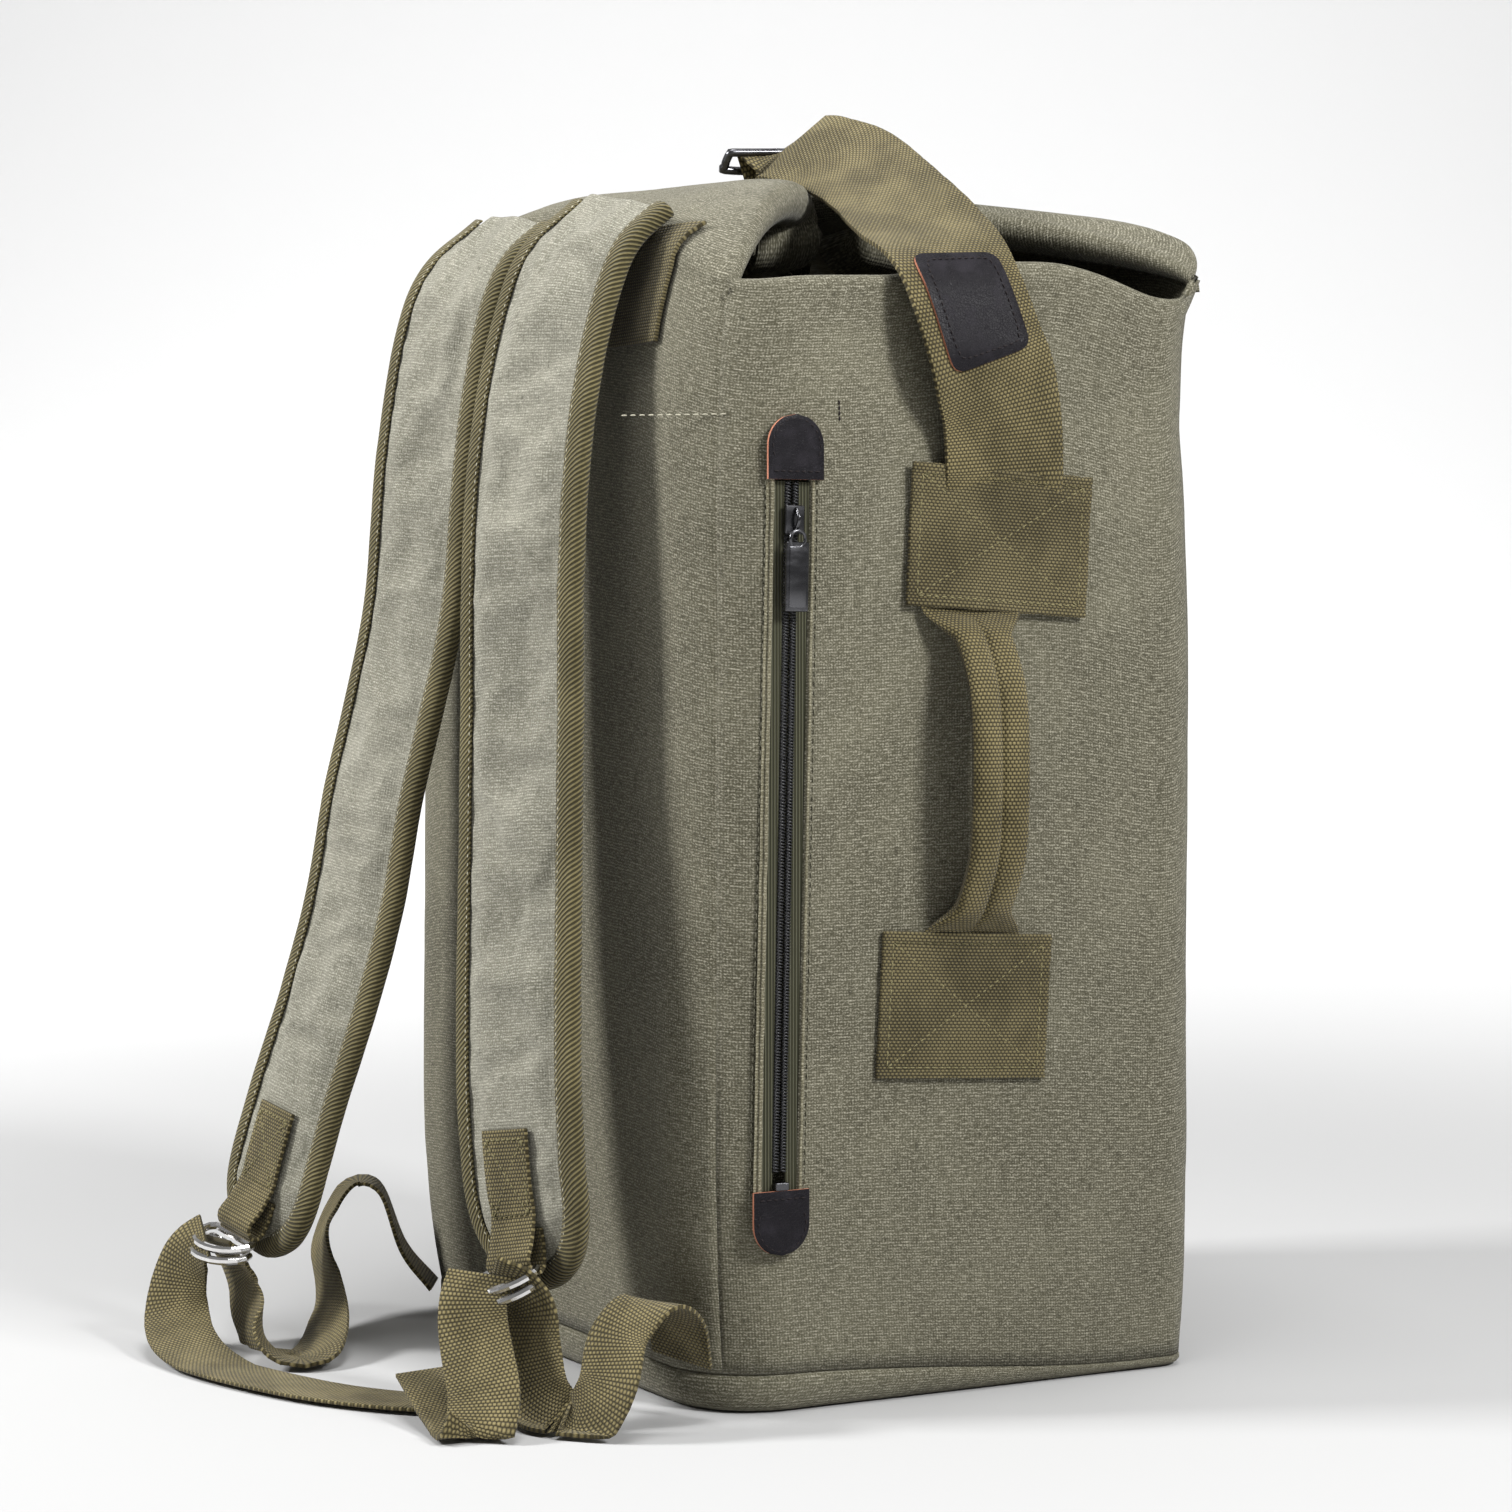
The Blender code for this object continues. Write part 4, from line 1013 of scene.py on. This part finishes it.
# ---------------------------------------------------------------- loose adjusting webbing
# each web's route, from the rings outwards, and the heading of its width at both ends in degrees
WEBS = {
    "load_web_right": ([(0.1030, -0.1900, 0.0590), (0.1085, -0.1835, 0.0540), (0.1125, -0.1790, 0.0450),
                        (0.1150, -0.1785, 0.0300), (0.1230, -0.1790, 0.0120),
                        (0.1370, -0.1785, 0.0030), (0.1480, -0.1720, 0.0060), (0.1520, -0.1640, 0.0200),
                        (0.1465, -0.1560, 0.0385), (0.1461, -0.1420, 0.0500), (0.1400, -0.1280, 0.0420),
                        (0.1330, -0.1210, 0.0230)], 24, 24),
    "tail_web_right": ([(0.1005, -0.1940, 0.0590), (0.1035, -0.1985, 0.0500), (0.1070, -0.2005, 0.0410),
                        (0.1140, -0.2020, 0.0310), (0.1272, -0.2050, 0.0170),
                        (0.1355, -0.2105, 0.0060), (0.1335, -0.2125, 0.0024), (0.1160, -0.2100, 0.0062),
                        (0.0950, -0.2080, 0.0125), (0.0760, -0.2050, 0.0170)], 40, 60),
    "load_web_left": ([(-0.0900, -0.2350, 0.0480), (-0.0910, -0.2270, 0.0400), (-0.0890, -0.2225, 0.0290),
                       (-0.0800, -0.2230, 0.0180), (-0.0550, -0.2240, 0.0070),
                       (-0.0330, -0.2170, 0.0028), (-0.0480, -0.2020, 0.0070), (-0.0900, -0.1830, 0.0190),
                       (-0.1260, -0.1690, 0.0400), (-0.1360, -0.1520, 0.0590), (-0.1300, -0.1390, 0.0570),
                       (-0.1240, -0.1300, 0.0300), (-0.1170, -0.1180, 0.0130)], 10, -30),
    "tail_web_left": ([(-0.0890, -0.2390, 0.0500), (-0.0935, -0.2440, 0.0430), (-0.0955, -0.2480, 0.0320),
                       (-0.0900, -0.2520, 0.0180), (-0.0680, -0.2560, 0.0080),
                       (-0.0350, -0.2530, 0.0028), (0.0000, -0.2440, 0.0024), (0.0336, -0.2309, 0.0024),
                       (0.0615, -0.2120, 0.0024), (0.0821, -0.1905, 0.0024), (0.1000, -0.1720, 0.0024)], 10,
                       125),
}


def build_web(name, path, first, last):
    """One loose web; a load web ends in the base seam, a tail web hangs free from the rings."""
    turn = np.radians(np.linspace(first, last, len(path)))
    across = np.stack([np.cos(turn), np.sin(turn), np.zeros(len(path))], 1)
    body = name.rsplit("_", 1)[1] + "_strap"
    loose = name.startswith("load")
    ob, c, _, _ = ribbon(name + "_webbing", path, across, WEB_STRAP * 0.95, 1.6 * MM, webbing,
                         None if loose else body, "webbing", (name,), cols=9, step=0.0025, frayed=0.1 * MM,
                         floor=True)
    if loose:
        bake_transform(ob)


for name, (path, first, last) in WEBS.items():
    build_web(name, path, first, last)

# ---------------------------------------------------------------- handle, patches and closure strap
LEAN = math.radians(-3.2)


def tucked(y, z, spots):
    """Lift of a patch where something is sewn in under its edge."""
    return sum(h * np.exp(-((y - cy) / wy) ** 2) * ease(1 - np.abs(z - cz) / wz) for cy, cz, wy, wz,
               h in spots)


def leaned(centre, y, z):
    """Places on the wall of a patch's own across and up coordinates."""
    return (centre[0] + y * math.cos(LEAN) - z * math.sin(LEAN),
            centre[1] + y * math.sin(LEAN) + z * math.cos(LEAN))


PATCH_SEAM = 4.5 * MM


def webbing_patch(name, node, centre, size, spots):
    """Rectangle of webbing box-stitched to the handle side, frayed and puckered along its edges."""
    q = np.linspace(-0.5, 0.5, 31)
    y, z = np.meshgrid(q * size[0], q * size[1])
    fray = noise3(np.stack([y, z, 0 * y], -1), 0.0018, 12) * 0.3 * MM
    y = y + fray * (np.abs(y) > size[0] * 0.499)
    z = z + fray * (np.abs(z) > size[1] * 0.499)
    a, b = size[0] / 2 - PATCH_SEAM, size[1] / 2 - PATCH_SEAM

    def lifted(across, up):
        yy, zz = leaned(centre, across, up)
        uneven = noise3(np.stack([yy, zz, 0 * yy], -1), 0.018, 7) * 0.3 * MM
        return SKIN + tucked(yy, zz, spots) + uneven, yy, zz

    x, yy, zz = lifted(y, z)
    pucker = sum(np.exp(-((np.abs(v) - seam) / (1.4 * MM)) ** 2) for v, seam in ((y, a), (z, b)))
    x = x + 0.7 * MM - 0.45 * MM * np.clip(pucker, 0, 1)
    ob = cloth_grid(name, np.stack([x, yy, zz], -1), patch_webbing, 2.0 * MM, np.stack([y, z], -1), 1.0,
                    rim=0.5 * MM)
    declare(ob, "bag", "webbing", node)
    sew = []
    path = [(-a, -b), (a, -b), (a, b), (-a, b), (-a, -b), (a, b), (-a, b), (a, -b)]
    for start, end in zip(path, path[1:]):
        run = np.linspace(start, end, 24)
        x, yy, zz = lifted(run[:, 0], run[:, 1])
        sew += stitch_parts(np.stack([x + 2.3 * MM, yy, zz], 1), np.repeat([[1.0, 0, 0]], 24, 0),
                            2.3 * MM, 1.2 * MM, 0.34 * MM)
    declare(join_pieces(name + "_stitches", sew, thread_olive), "bag", "webbing")


webbing_patch("handle_patch_upper", "handle_patch_top", (0.0135, 0.3498), (0.087, 0.058),
              [(-0.002, 0.3208, 0.024, 0.016, 2.6 * MM), (0.0150, 0.3790, 0.034, 0.018, 2.2 * MM)])
webbing_patch("handle_patch_lower", "handle_patch_bottom", (-0.003, 0.1607), (0.081, 0.0595),
              [(-0.002, 0.1904, 0.024, 0.016, 2.6 * MM)])

GRIP_X, GRIP_Y, GRIP_Z = SKIN + 0.0062, -0.001, 0.2555


def build_grip():
    """Carrying handle: wide webbing folded in from both edges to a seam down the middle, flat at its ends."""
    half_path = [(SKIN + 0.9 * MM, 0.0720), (SKIN + 2.0 * MM, 0.0650), (GRIP_X + 0.0035, 0.0560),
                 (GRIP_X + 0.0115, 0.0430), (GRIP_X + 0.0165, 0.028)]
    path = [(x, GRIP_Y, GRIP_Z + up) for x, up in half_path] + [(GRIP_X + 0.0180, GRIP_Y, GRIP_Z)]
    path += [(x, GRIP_Y, GRIP_Z - up) for x, up in half_path[::-1]]
    c = resample(spline(path, 8), 0.0016)
    t = unit(np.gradient(c, axis=0))
    w = np.repeat([[0.0, 1.0, 0.0]], len(c), 0)
    n = np.cross(t, w)
    n = np.where((n[:, :1] < 0), -n, n)
    spread = ease((np.abs(c[:, 2] - GRIP_Z) - 0.053) / 0.013)
    half = 0.0132 + 0.0105 * spread
    columns = []
    for v in np.linspace(-1, 1, 31):
        lobe = 0.0018 + 0.0030 * np.sqrt(np.maximum(0, 1 - (2 * abs(v) - 1) ** 2)) ** 0.8
        crumple = spread * noise3(c + w * v * 0.03, 0.010, 77) * 1.5 * MM * abs(v)
        height = lobe * (1 - spread) + 0.0012 * spread + crumple * (1 if abs(v) > 0.2 else 0.3)
        columns.append(c + w * (v * half)[:, None] + n * height[:, None])
    under = -0.0020 * (1 - 0.5 * spread) - 0.0004
    for v in np.linspace(1, -1, 17)[1:-1]:
        columns.append(c + w * (v * half)[:, None] + n * under[:, None])
    g = np.stack(columns + columns[:1], 1)
    thread = grid_thread(g)
    thread[..., 0] = np.abs(thread[..., 0] - thread[:, 15:16, 0])
    cuts = [int(np.argmin(np.abs(c[:, 2] - (GRIP_Z + d)))) for d in (0.050, -0.050)]
    spans = (("handle_end_top", 0, cuts[0], 1), ("handle_grip_webbing", cuts[0], cuts[1], 0),
             ("handle_end_bottom", cuts[1], len(c) - 1, -1))
    for name, i, j, end in spans:
        part = g[i:j + 1]
        ob = cloth_grid(name, part, webbing, 0, thread[i:j + 1])
        if grid_normals(part)[len(part) // 2, 10] @ n[(i + j) // 2] < 0:
            ob.data.flip_normals()
        if end:
            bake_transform(ob)
        else:
            declare(ob, "handle", "webbing", "handle_grip")


build_grip()

strap_path = [(0.1566, 0.0146, 0.3700), (0.1582, 0.0143, 0.3795), (0.1604, 0.0112, 0.4030),
              (0.1620, 0.0020, 0.4300),
              (0.1500, -0.0045, 0.4620), (0.1150, -0.0010, 0.4828), (0.0750, 0.0044, 0.5025),
              (0.0380, 0.0080, 0.5175),
              (0.0120, 0.0055, 0.5248), (0.0020, 0.0045, 0.5266), (-0.0030, 0.0042, 0.5268),
              (-0.0048, 0.0042, 0.5248),
              (-0.0020, 0.0042, 0.5228), (0.0060, 0.0046, 0.5216), (0.0210, 0.0060, 0.5180)]
strap_across = [(0, 1, 0), (0, 1, 0), (0, 1, 0.02), (0, 1, 0), (0, 0.99, 0.10), (0, 0.95, 0.28),
                (0, 0.87, 0.48),
                (0, 0.80, 0.60)] + [(0, 0.78, 0.62)] * 7
strap_width = [WEB_WIDE] * 7 + [0.054, 0.049] + [0.047] * 6
strap, strap_c, strap_w, strap_n = ribbon(
    "closure_strap_webbing", strap_path, strap_across, strap_width, 1.9 * MM, webbing, None, "webbing",
    ("closure_strap",), cols=17, step=0.003, frayed=0.15 * MM)
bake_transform(strap)


def leather_piece(name, top, down, thickness, body, nodes):
    """Cut leather from a point grid: a slightly crowned face and raw sides."""
    rows, cols = top.shape[:2]
    r, c = np.meshgrid(np.linspace(-1, 1, rows), np.linspace(-1, 1, cols), indexing="ij")
    sink = ease((np.maximum(np.abs(r), np.abs(c)) - 0.90) / 0.10) * 0.35 * MM
    low = top + down * thickness
    top = top + down * sink[..., None]
    verts = np.vstack([top.reshape(-1, 3), low.reshape(-1, 3)])
    ob = make(name, verts, closed_slab_faces(rows, cols), [leather, leather_edge])
    on_faces = 2 * (rows - 1) * (cols - 1)
    for i, f in enumerate(ob.data.polygons):
        f.material_index = 1 if i >= on_faces else 0
    bm = bmesh.new()
    bm.from_mesh(ob.data)
    bmesh.ops.recalc_face_normals(bm, faces=bm.faces)
    bm.to_mesh(ob.data)
    bm.free()
    ob.data.set_sharp_from_angle(angle=math.radians(40))
    return declare(ob, body, "leather", *nodes)


def rounded(u, v):
    """Moves the corners of a square grid (-1..1) in to a rounded square."""
    pull = np.maximum(np.abs(u), np.abs(v)) / np.maximum((np.abs(u) ** 8 + np.abs(v) ** 8) ** (1 / 8), 1e-9)
    return u * pull, v * pull


def strap_row(z):
    """Row of the closure strap, on its way up, that is nearest a height."""
    return int(np.argmin(np.abs(strap_c[:60, 2] - z)))


def patch_on_strap(low_z=0.4235, high_z=0.4650, half=0.0200):
    """Leather patch sewn on the closure strap."""
    i, j = strap_row(low_z), strap_row(high_z)
    u, v = rounded(*np.meshgrid(np.linspace(-1, 1, 21), np.linspace(-1, 1, 25)))
    at = (i + j) / 2 + v * (j - i) / 2
    cc, ww, nn = (np.stack([np.interp(at, np.arange(len(part)), part[:, k]) for k in range(3)], -1)
                  for part in (strap_c, strap_w, strap_n))
    up = unit(nn) * (-1 if nn[12, 10, 0] < 0 else 1)
    top = cc + ww * (u * half)[..., None] + up * (2.5 * MM)
    if np.cross(top[12, 11] - top[12, 10], top[13, 10] - top[12, 10]) @ up[12, 10] < 0:
        top, up = top[:, ::-1], up[:, ::-1]
    leather_piece("leather_patch_on_strap", top, -up, 1.5 * MM, "closure_strap_body",
                  ("strap_leather_patch",))
    ring = [(2, k) for k in range(2, 19)] + [(k, 18) for k in range(2, 23)]
    ring += [(22, k) for k in range(18, 1, -1)] + [(k, 2) for k in range(22, 1, -1)]
    line, normals = (np.array([part[r, k] for r, k in ring]) for part in (top, up))
    sew = stitch_parts(line, normals, 2.0 * MM, 1.0 * MM, 0.30 * MM)
    declare(join_pieces("leather_patch_stitches", sew, thread_dark), "closure_strap_body", "leather")


def hook_frame():
    """Metal frame that the end of the strap folds round."""
    end = int(np.argmin(strap_c[:, 0]))
    middle = strap_c[end] + np.array([0.0022, 0, 0])
    along = unit(np.array([-0.65, 0, -0.75]))
    outline = [(0, -1), (0, 1), (6.5, 1), (9.5, 0.86), (9.5, -0.86), (6.5, -1), (0, -1)]
    path = [middle + along * a * MM + strap_w[end] * b * 0.0275 for a, b in outline]
    path = resample(spline(path, 6), 0.0012)[:-1]
    ob = make("hook_frame_wire", *tube(path, 1.9 * MM, 10, cyclic=True, up=(0, 0, 1)), gunmetal)
    declare(ob, "closure_strap_body", "gunmetal", "hook_frame")


patch_on_strap()
hook_frame()


def half_round_tab(name, node, y, z, flip):
    """Half-round leather end of the zip, straight edge towards the zip."""
    wide, tall = 0.0252, 0.0258
    v = np.linspace(0, 1, 19) ** 0.85
    yy = v * tall
    r = wide / 2
    half = np.where(yy < tall - r, r, np.sqrt(np.maximum(r ** 2 - (yy - (tall - r)) ** 2, 1e-8)))
    u = np.linspace(-1, 1, 15)
    pts_y = y + u[None, :] * half[:, None]
    pts_z = z + flip * yy[:, None] + 0 * u[None, :]
    x = SKIN + 1.75 * MM + 0.35 * MM * (1 - (u[None, :]) ** 2) + 0 * yy[:, None]
    top = np.stack([x, pts_y, pts_z], -1)
    if flip < 0:
        top = top[:, ::-1]
    down = np.zeros_like(top)
    down[..., 0] = -1
    leather_piece(name, top, down, 1.6 * MM, "bag", (node,))
    inner = 0.0108
    line = np.stack([np.full(14, SKIN + 2.05 * MM), y + np.linspace(-1, 1, 14) * inner,
                     np.full(14, z + flip * 0.0032)], 1)
    arc = np.radians(np.linspace(-25, 205, 30))
    ring = np.stack([np.full(30, SKIN + 1.75 * MM), y + inner * np.cos(arc),
                     z + flip * (tall - r + inner * np.sin(arc))], 1)
    sew = []
    for run, thick in ((line, 0.30 * MM), (ring, 0.26 * MM)):
        sew += stitch_parts(run, np.repeat([[1.0, 0, 0]], len(run), 0), 2.0 * MM, 1.0 * MM, thick)
    declare(join_pieces(name + "_stitches", sew, thread_dark), "bag", "leather")


half_round_tab("zip_leather_end_top", "zip_leather_tab_top", -0.0818, 0.3728, 1)
half_round_tab("zip_leather_end_bottom", "zip_leather_tab_bottom", -0.0883, 0.0912, -1)

# ---------------------------------------------------------------- zip
ZIP = Matrix.Translation((HALF_X, *ZIP_CENTRE)) @ Matrix.Rotation(ZIP_LEAN, 4, "X")


def zip_point(x, y, z):
    """Place in the bag of a point given from the middle of the zip, out of the wall, across and along it."""
    return np.array(ZIP @ Vector((x, y, z)))


COIL_PITCH = 1.25 * MM
ZIP_SIDES = (("left", -1), ("right", 1))


def zip_coil(which, sign):
    """Row of coil teeth along one tape."""
    run = ZIP_LENGTH - 0.008
    turns = int(run / COIL_PITCH)
    angle = np.linspace(0, 2 * math.pi * turns, turns * 9)
    z = 0.004 - run / 2 + angle / (2 * math.pi) * COIL_PITCH
    path = np.array([zip_point(-0.0011 + 0.9 * MM * math.sin(a), sign * 1.75 * MM + 1.25 * MM * math.cos(a),
                               zz)
                     for a, zz in zip(angle, z)])
    ob = make("zip_coil_" + which + "_turns", *tube(path, 0.36 * MM, 5), coil_black)
    declare(ob, "bag", "zip_coil", "zip_coil_" + which)


def zip_edge(which, sign, edge):
    """Turned canvas edge down one side of the zip, with its row of stitches."""
    e = resample(edge, 0.004)
    e[:, 0] = np.maximum(e[:, 0], HALF_X - 0.5 * MM) + 0.15 * MM
    roll = [e + np.array([math.sin(a), sign * -math.cos(a), 0]) * 0.85 * MM + np.array([0, sign * 0.95 * MM,
                                                                                        0])
            for a in np.radians((200, 165, 130, 100, 75, 50, 20, -15, -50))]
    roll.append(e + np.array([-0.5 * MM, sign * 3.4 * MM, 0]))
    g = np.stack(roll, 1)
    g = g + (noise3(g, 0.006, 51) * 0.18 * MM)[..., None] * np.array([1, 0.6, 0])
    if sign < 0:
        g = g[:, ::-1]
    declare(cloth_grid("zip_edge_roll_" + which, g, edge_canvas), "bag", "canvas")
    places, normals = on_wall(HANDLE_SIDE, e[:, 1] + sign * 3.2 * MM, e[:, 2], 0.25 * MM)
    sew = stitch_parts(places, normals, 2.4 * MM, 1.4 * MM, 0.32 * MM)
    declare(join_pieces("zip_edge_stitches_" + which, sew, thread_canvas), "bag", "canvas")


for which, sign in ZIP_SIDES:
    zip_coil(which, sign)
for (which, sign), edge in zip(ZIP_SIDES, slot_edges):
    zip_edge(which, sign, edge)

SLIDER_Z = ZIP_LENGTH / 2 - 0.0155


def soft_box(name, size, centre, bevel, segments=3):
    """Gunmetal block on the zip with rounded edges; size and centre are in millimetres about the slider."""
    bm = bmesh.new()
    bmesh.ops.create_cube(bm, size=1)
    bmesh.ops.scale(bm, vec=[v * MM for v in size], verts=bm.verts)
    bmesh.ops.bevel(bm, geom=bm.edges[:], offset=bevel * MM, segments=segments, profile=0.6, affect="EDGES")
    x, y, z = (v * MM for v in centre)
    bm.transform(ZIP @ Matrix.Translation((x, y, SLIDER_Z + z)))
    me = bpy.data.meshes.new(name)
    bm.to_mesh(me)
    bm.free()
    me.shade_smooth()
    me.set_sharp_from_angle(angle=math.radians(35))
    me.materials.append(gunmetal)
    ob = bpy.data.objects.new(name, me)
    bpy.context.scene.collection.objects.link(ob)
    return ob


def zip_slider():
    """Slider with the bridge that holds its pull."""
    ob = soft_box("zip_slider_body", (2.3, 8.6, 11.5), (1.35, 0, 0), 0.8)
    declare(ob, "zip_slider_body", "gunmetal", "zip_slider")
    bridge = [zip_point((2.6 + 2.7 * math.sin(math.pi * t) ** 0.8) * MM, 0, SLIDER_Z + (4.2 - 8.4 * t) * MM)
              for t in np.linspace(0, 1, 17)]
    ob = make("zip_slider_bridge", *tube(bridge, 0.95 * MM, 10, flat=0.75, up=(0, 1, 0)), gunmetal)
    declare(ob, "zip_slider_body", "gunmetal", "zip_pull_bail")


def zip_pull():
    """Wire loop and plate of the pull, hanging from the bridge."""
    loop = [(4.8, 3.1, -8.8), (4.9, 3.2, -7.0), (4.9, 2.2, -5.2), (4.9, 0, -4.4), (4.9, -2.2, -5.2),
            (4.9, -3.2, -7.0), (4.8, -3.1, -8.8), (4.6, -2.2, -10.6), (4.6, 2.2, -10.6)]
    loop = spline([loop[-1]] + loop + [loop[0]], 5)[5:-6]
    loop = [zip_point(x * MM, y * MM, SLIDER_Z + z * MM) for x, y, z in loop]
    ob = make("zip_pull_loop", *tube(loop, 0.72 * MM, 10, cyclic=True), gunmetal)
    declare(ob, "zip_tab_body", "gunmetal")
    ob = soft_box("zip_pull_plate", (1.7, 10.4, 27.5), (4.35, 0, -22.6), 0.7)
    declare(ob, "zip_tab_body", "gunmetal", "zip_pull_tab")
    ob = soft_box("zip_pull_plate_face", (0.5, 7.6, 24.0), (5.2, 0, -22.8), 0.22, 2)
    declare(ob, "zip_tab_body", "gunmetal")


zip_slider()
zip_pull()

# ---------------------------------------------------------------- seam and bar tack of the inside pocket
POCKET_Z, TACK_Y, TACK_TOP = 0.3985, -0.0598, 0.4050


def wall_stitches(name, across, z, thread, **size):
    """Row of stitches on the handle side through the given places."""
    path = resample(np.hstack(on_wall(HANDLE_SIDE, across, z, 0.15 * MM)), 0.002)
    sew = stitch_parts(path[:, :3], unit(path[:, 3:]), **size)
    declare(join_pieces(name, sew, thread), "bag", "canvas")


wall_stitches("pocket_stitches", np.linspace(-0.1385, -0.106, 20), np.full(20, POCKET_Z), thread_light,
              length=2.2 * MM, gap=1.6 * MM, radius=0.30 * MM)
wall_stitches("pocket_bartack", np.full(8, TACK_Y), np.linspace(0.3965, TACK_TOP, 8), thread_dark,
              length=1.6 * MM, gap=0.5 * MM, radius=0.34 * MM)
wall_stitches("pocket_bartack_foot", np.linspace(-0.0655, TACK_Y, 8), np.full(8, TACK_TOP), thread_dark,
              length=1.6 * MM, gap=0.5 * MM, radius=0.34 * MM)


# ---------------------------------------------------------------- base
def build_base():
    """Base of the bag: a band up to the wall seams, rounded under to the flat floor piece."""
    loop = np.concatenate([shaped[sd][0, :-1] for sd in range(4)])
    for _ in range(2):
        loop = (np.roll(loop, 1, 0) + 2 * loop + np.roll(loop, -1, 0)) / 4
    height = loop[:, 2].copy()
    out = unit(np.cross(np.roll(loop, -1, 0) - np.roll(loop, 1, 0), (0, 0, 1)))
    sag = noise3(loop, 0.05, 61) * 0.7 * MM
    rows = []
    for drop, step in ((-2.0, -1.6), (0.2, -1.3), (1.0, -0.1), (3.0, 0.25), (7.0, 0.1), (11.0, -0.8),
                       (14.0, -2.2),
                       (15.5, -4.0), (15.9, -7.0), (15.9, -14.0)):
        slack = min(1, max(drop, 0) / 6) if drop < 13 else 0
        r = loop + out * (step * MM + sag[:, None] * slack)
        r[:, 2] = height * (1 - drop * MM / BASE_BAND)
        rows.append(r)
    g = np.array(rows[::-1])
    g = np.concatenate([g, g[:, :1]], 1)
    underside = tuple(range(g.shape[1] - 1))[::-1]
    faces = grid_faces(*g.shape[:2]) + [underside]
    ob = make("bag_base", g.reshape(-1, 3), faces, canvas, grid_thread(g))
    declare(ob, "bag", "canvas", "base_panel")


build_base()

# ---------------------------------------------------------------- carried-over CAD nodes
def repaint(names, material):
    """Gives CAD nodes that are kept as they are their material and smooth faces between sharp edges."""
    for name in names:
        me = NODES[name].data
        me.materials.clear()
        me.materials.append(material)
        me.shade_smooth()
        NODES[name].modifiers.new("Sharp", "EDGE_SPLIT").split_angle = math.radians(35)


# the lining board takes the near-black lining, painted shade inside the bag
repaint(["base_lining_board"], lining)
repaint(["mouth_leather_patch"], leather)
repaint(["eyelet_back", "eyelet_front"], brass)
repaint(["mouth_staple", "hook_swivel", "hook_body", "hook_gate", "ring_upper_right", "ring_lower_right",
         "ring_upper_left", "ring_lower_left"], chrome)
repaint(["zip_tape_left", "zip_tape_right"], tape)
repaint(["zip_stop_bottom"], gunmetal)

# ---------------------------------------------------------------- floor, backdrop and light
SWEEP_START, SWEEP_RADIUS = 1.0, 2.6
# painted shade: the floor colour is darker near the bag
FLOOR_NEAR_SHADE, FLOOR_FAR = (0.43, 0.43, 0.43), (0.84, 0.84, 0.84)


def floor_paint():
    """Matt floor with painted shade: darker near the bag, paler the further it is from it."""
    p = Paint("studio_floor", 0.9, specular=0.1)
    away = p.tree.nodes.new("ShaderNodeVectorMath")
    away.operation = "LENGTH"
    p.put(away.inputs[0], p.stretch(p.place(False), (1, 1, 0)))
    return p.done(p.mix(p.span(away.outputs["Value"], 0.5, 2.0), FLOOR_NEAR_SHADE, FLOOR_FAR))


def build_floor():
    """Floor that sweeps up behind the bag into a backdrop."""
    side_view = [(-4.5, 0), (0, 0), (SWEEP_START, 0)]
    side_view += [(SWEEP_START + SWEEP_RADIUS * math.sin(t), SWEEP_RADIUS - SWEEP_RADIUS * math.cos(t))
                  for t in np.linspace(0.05, math.pi / 2, 30)]
    side_view.append((SWEEP_START + SWEEP_RADIUS, 6))
    turned = Matrix.Rotation(CAMERA_AZIMUTH, 3, "Z")
    rows = [[tuple(turned @ Vector((x, y, z))) for x in (-7, 0, 7)] for y, z in side_view]
    return cloth_grid("studio_floor", np.array(rows), floor_paint())


floor = build_floor()

world = bpy.data.worlds.new("studio")
bpy.context.scene.world = world
world.use_nodes = True
world.node_tree.nodes["Background"].inputs[0].default_value = (1, 1, 1, 1)
world.node_tree.nodes["Background"].inputs[1].default_value = 0.23
bpy.context.scene.view_settings.view_transform = "Standard"


def soft_light(name, azimuth, elevation, distance, size, power, target=(0, 0, 0.25)):
    """Square soft box aimed at the target from an azimuth measured as the camera's is."""
    a, e = math.radians(azimuth), math.radians(elevation)
    light = bpy.data.lights.new(name, "AREA")
    light.shape, light.size, light.energy = "SQUARE", size, power
    ob = bpy.data.objects.new(name, light)
    bpy.context.scene.collection.objects.link(ob)
    out = Vector((math.sin(a) * math.cos(e), -math.cos(a) * math.cos(e), math.sin(e)))
    ob.location = Vector(target) + out * distance
    ob.rotation_mode = "QUATERNION"
    ob.rotation_quaternion = (-out).to_track_quat("-Z", "Y")


soft_light("key_left", -22, 30, 2.2, 0.45, 62)
soft_light("key_right", 108, 34, 2.4, 0.5, 60)
soft_light("overhead", 70, 80, 2.4, 1.0, 44)
soft_light("backdrop_wash", 61, 35, 2.0, 2.4, 14, target=(-2.9, 1.6, 0.8))
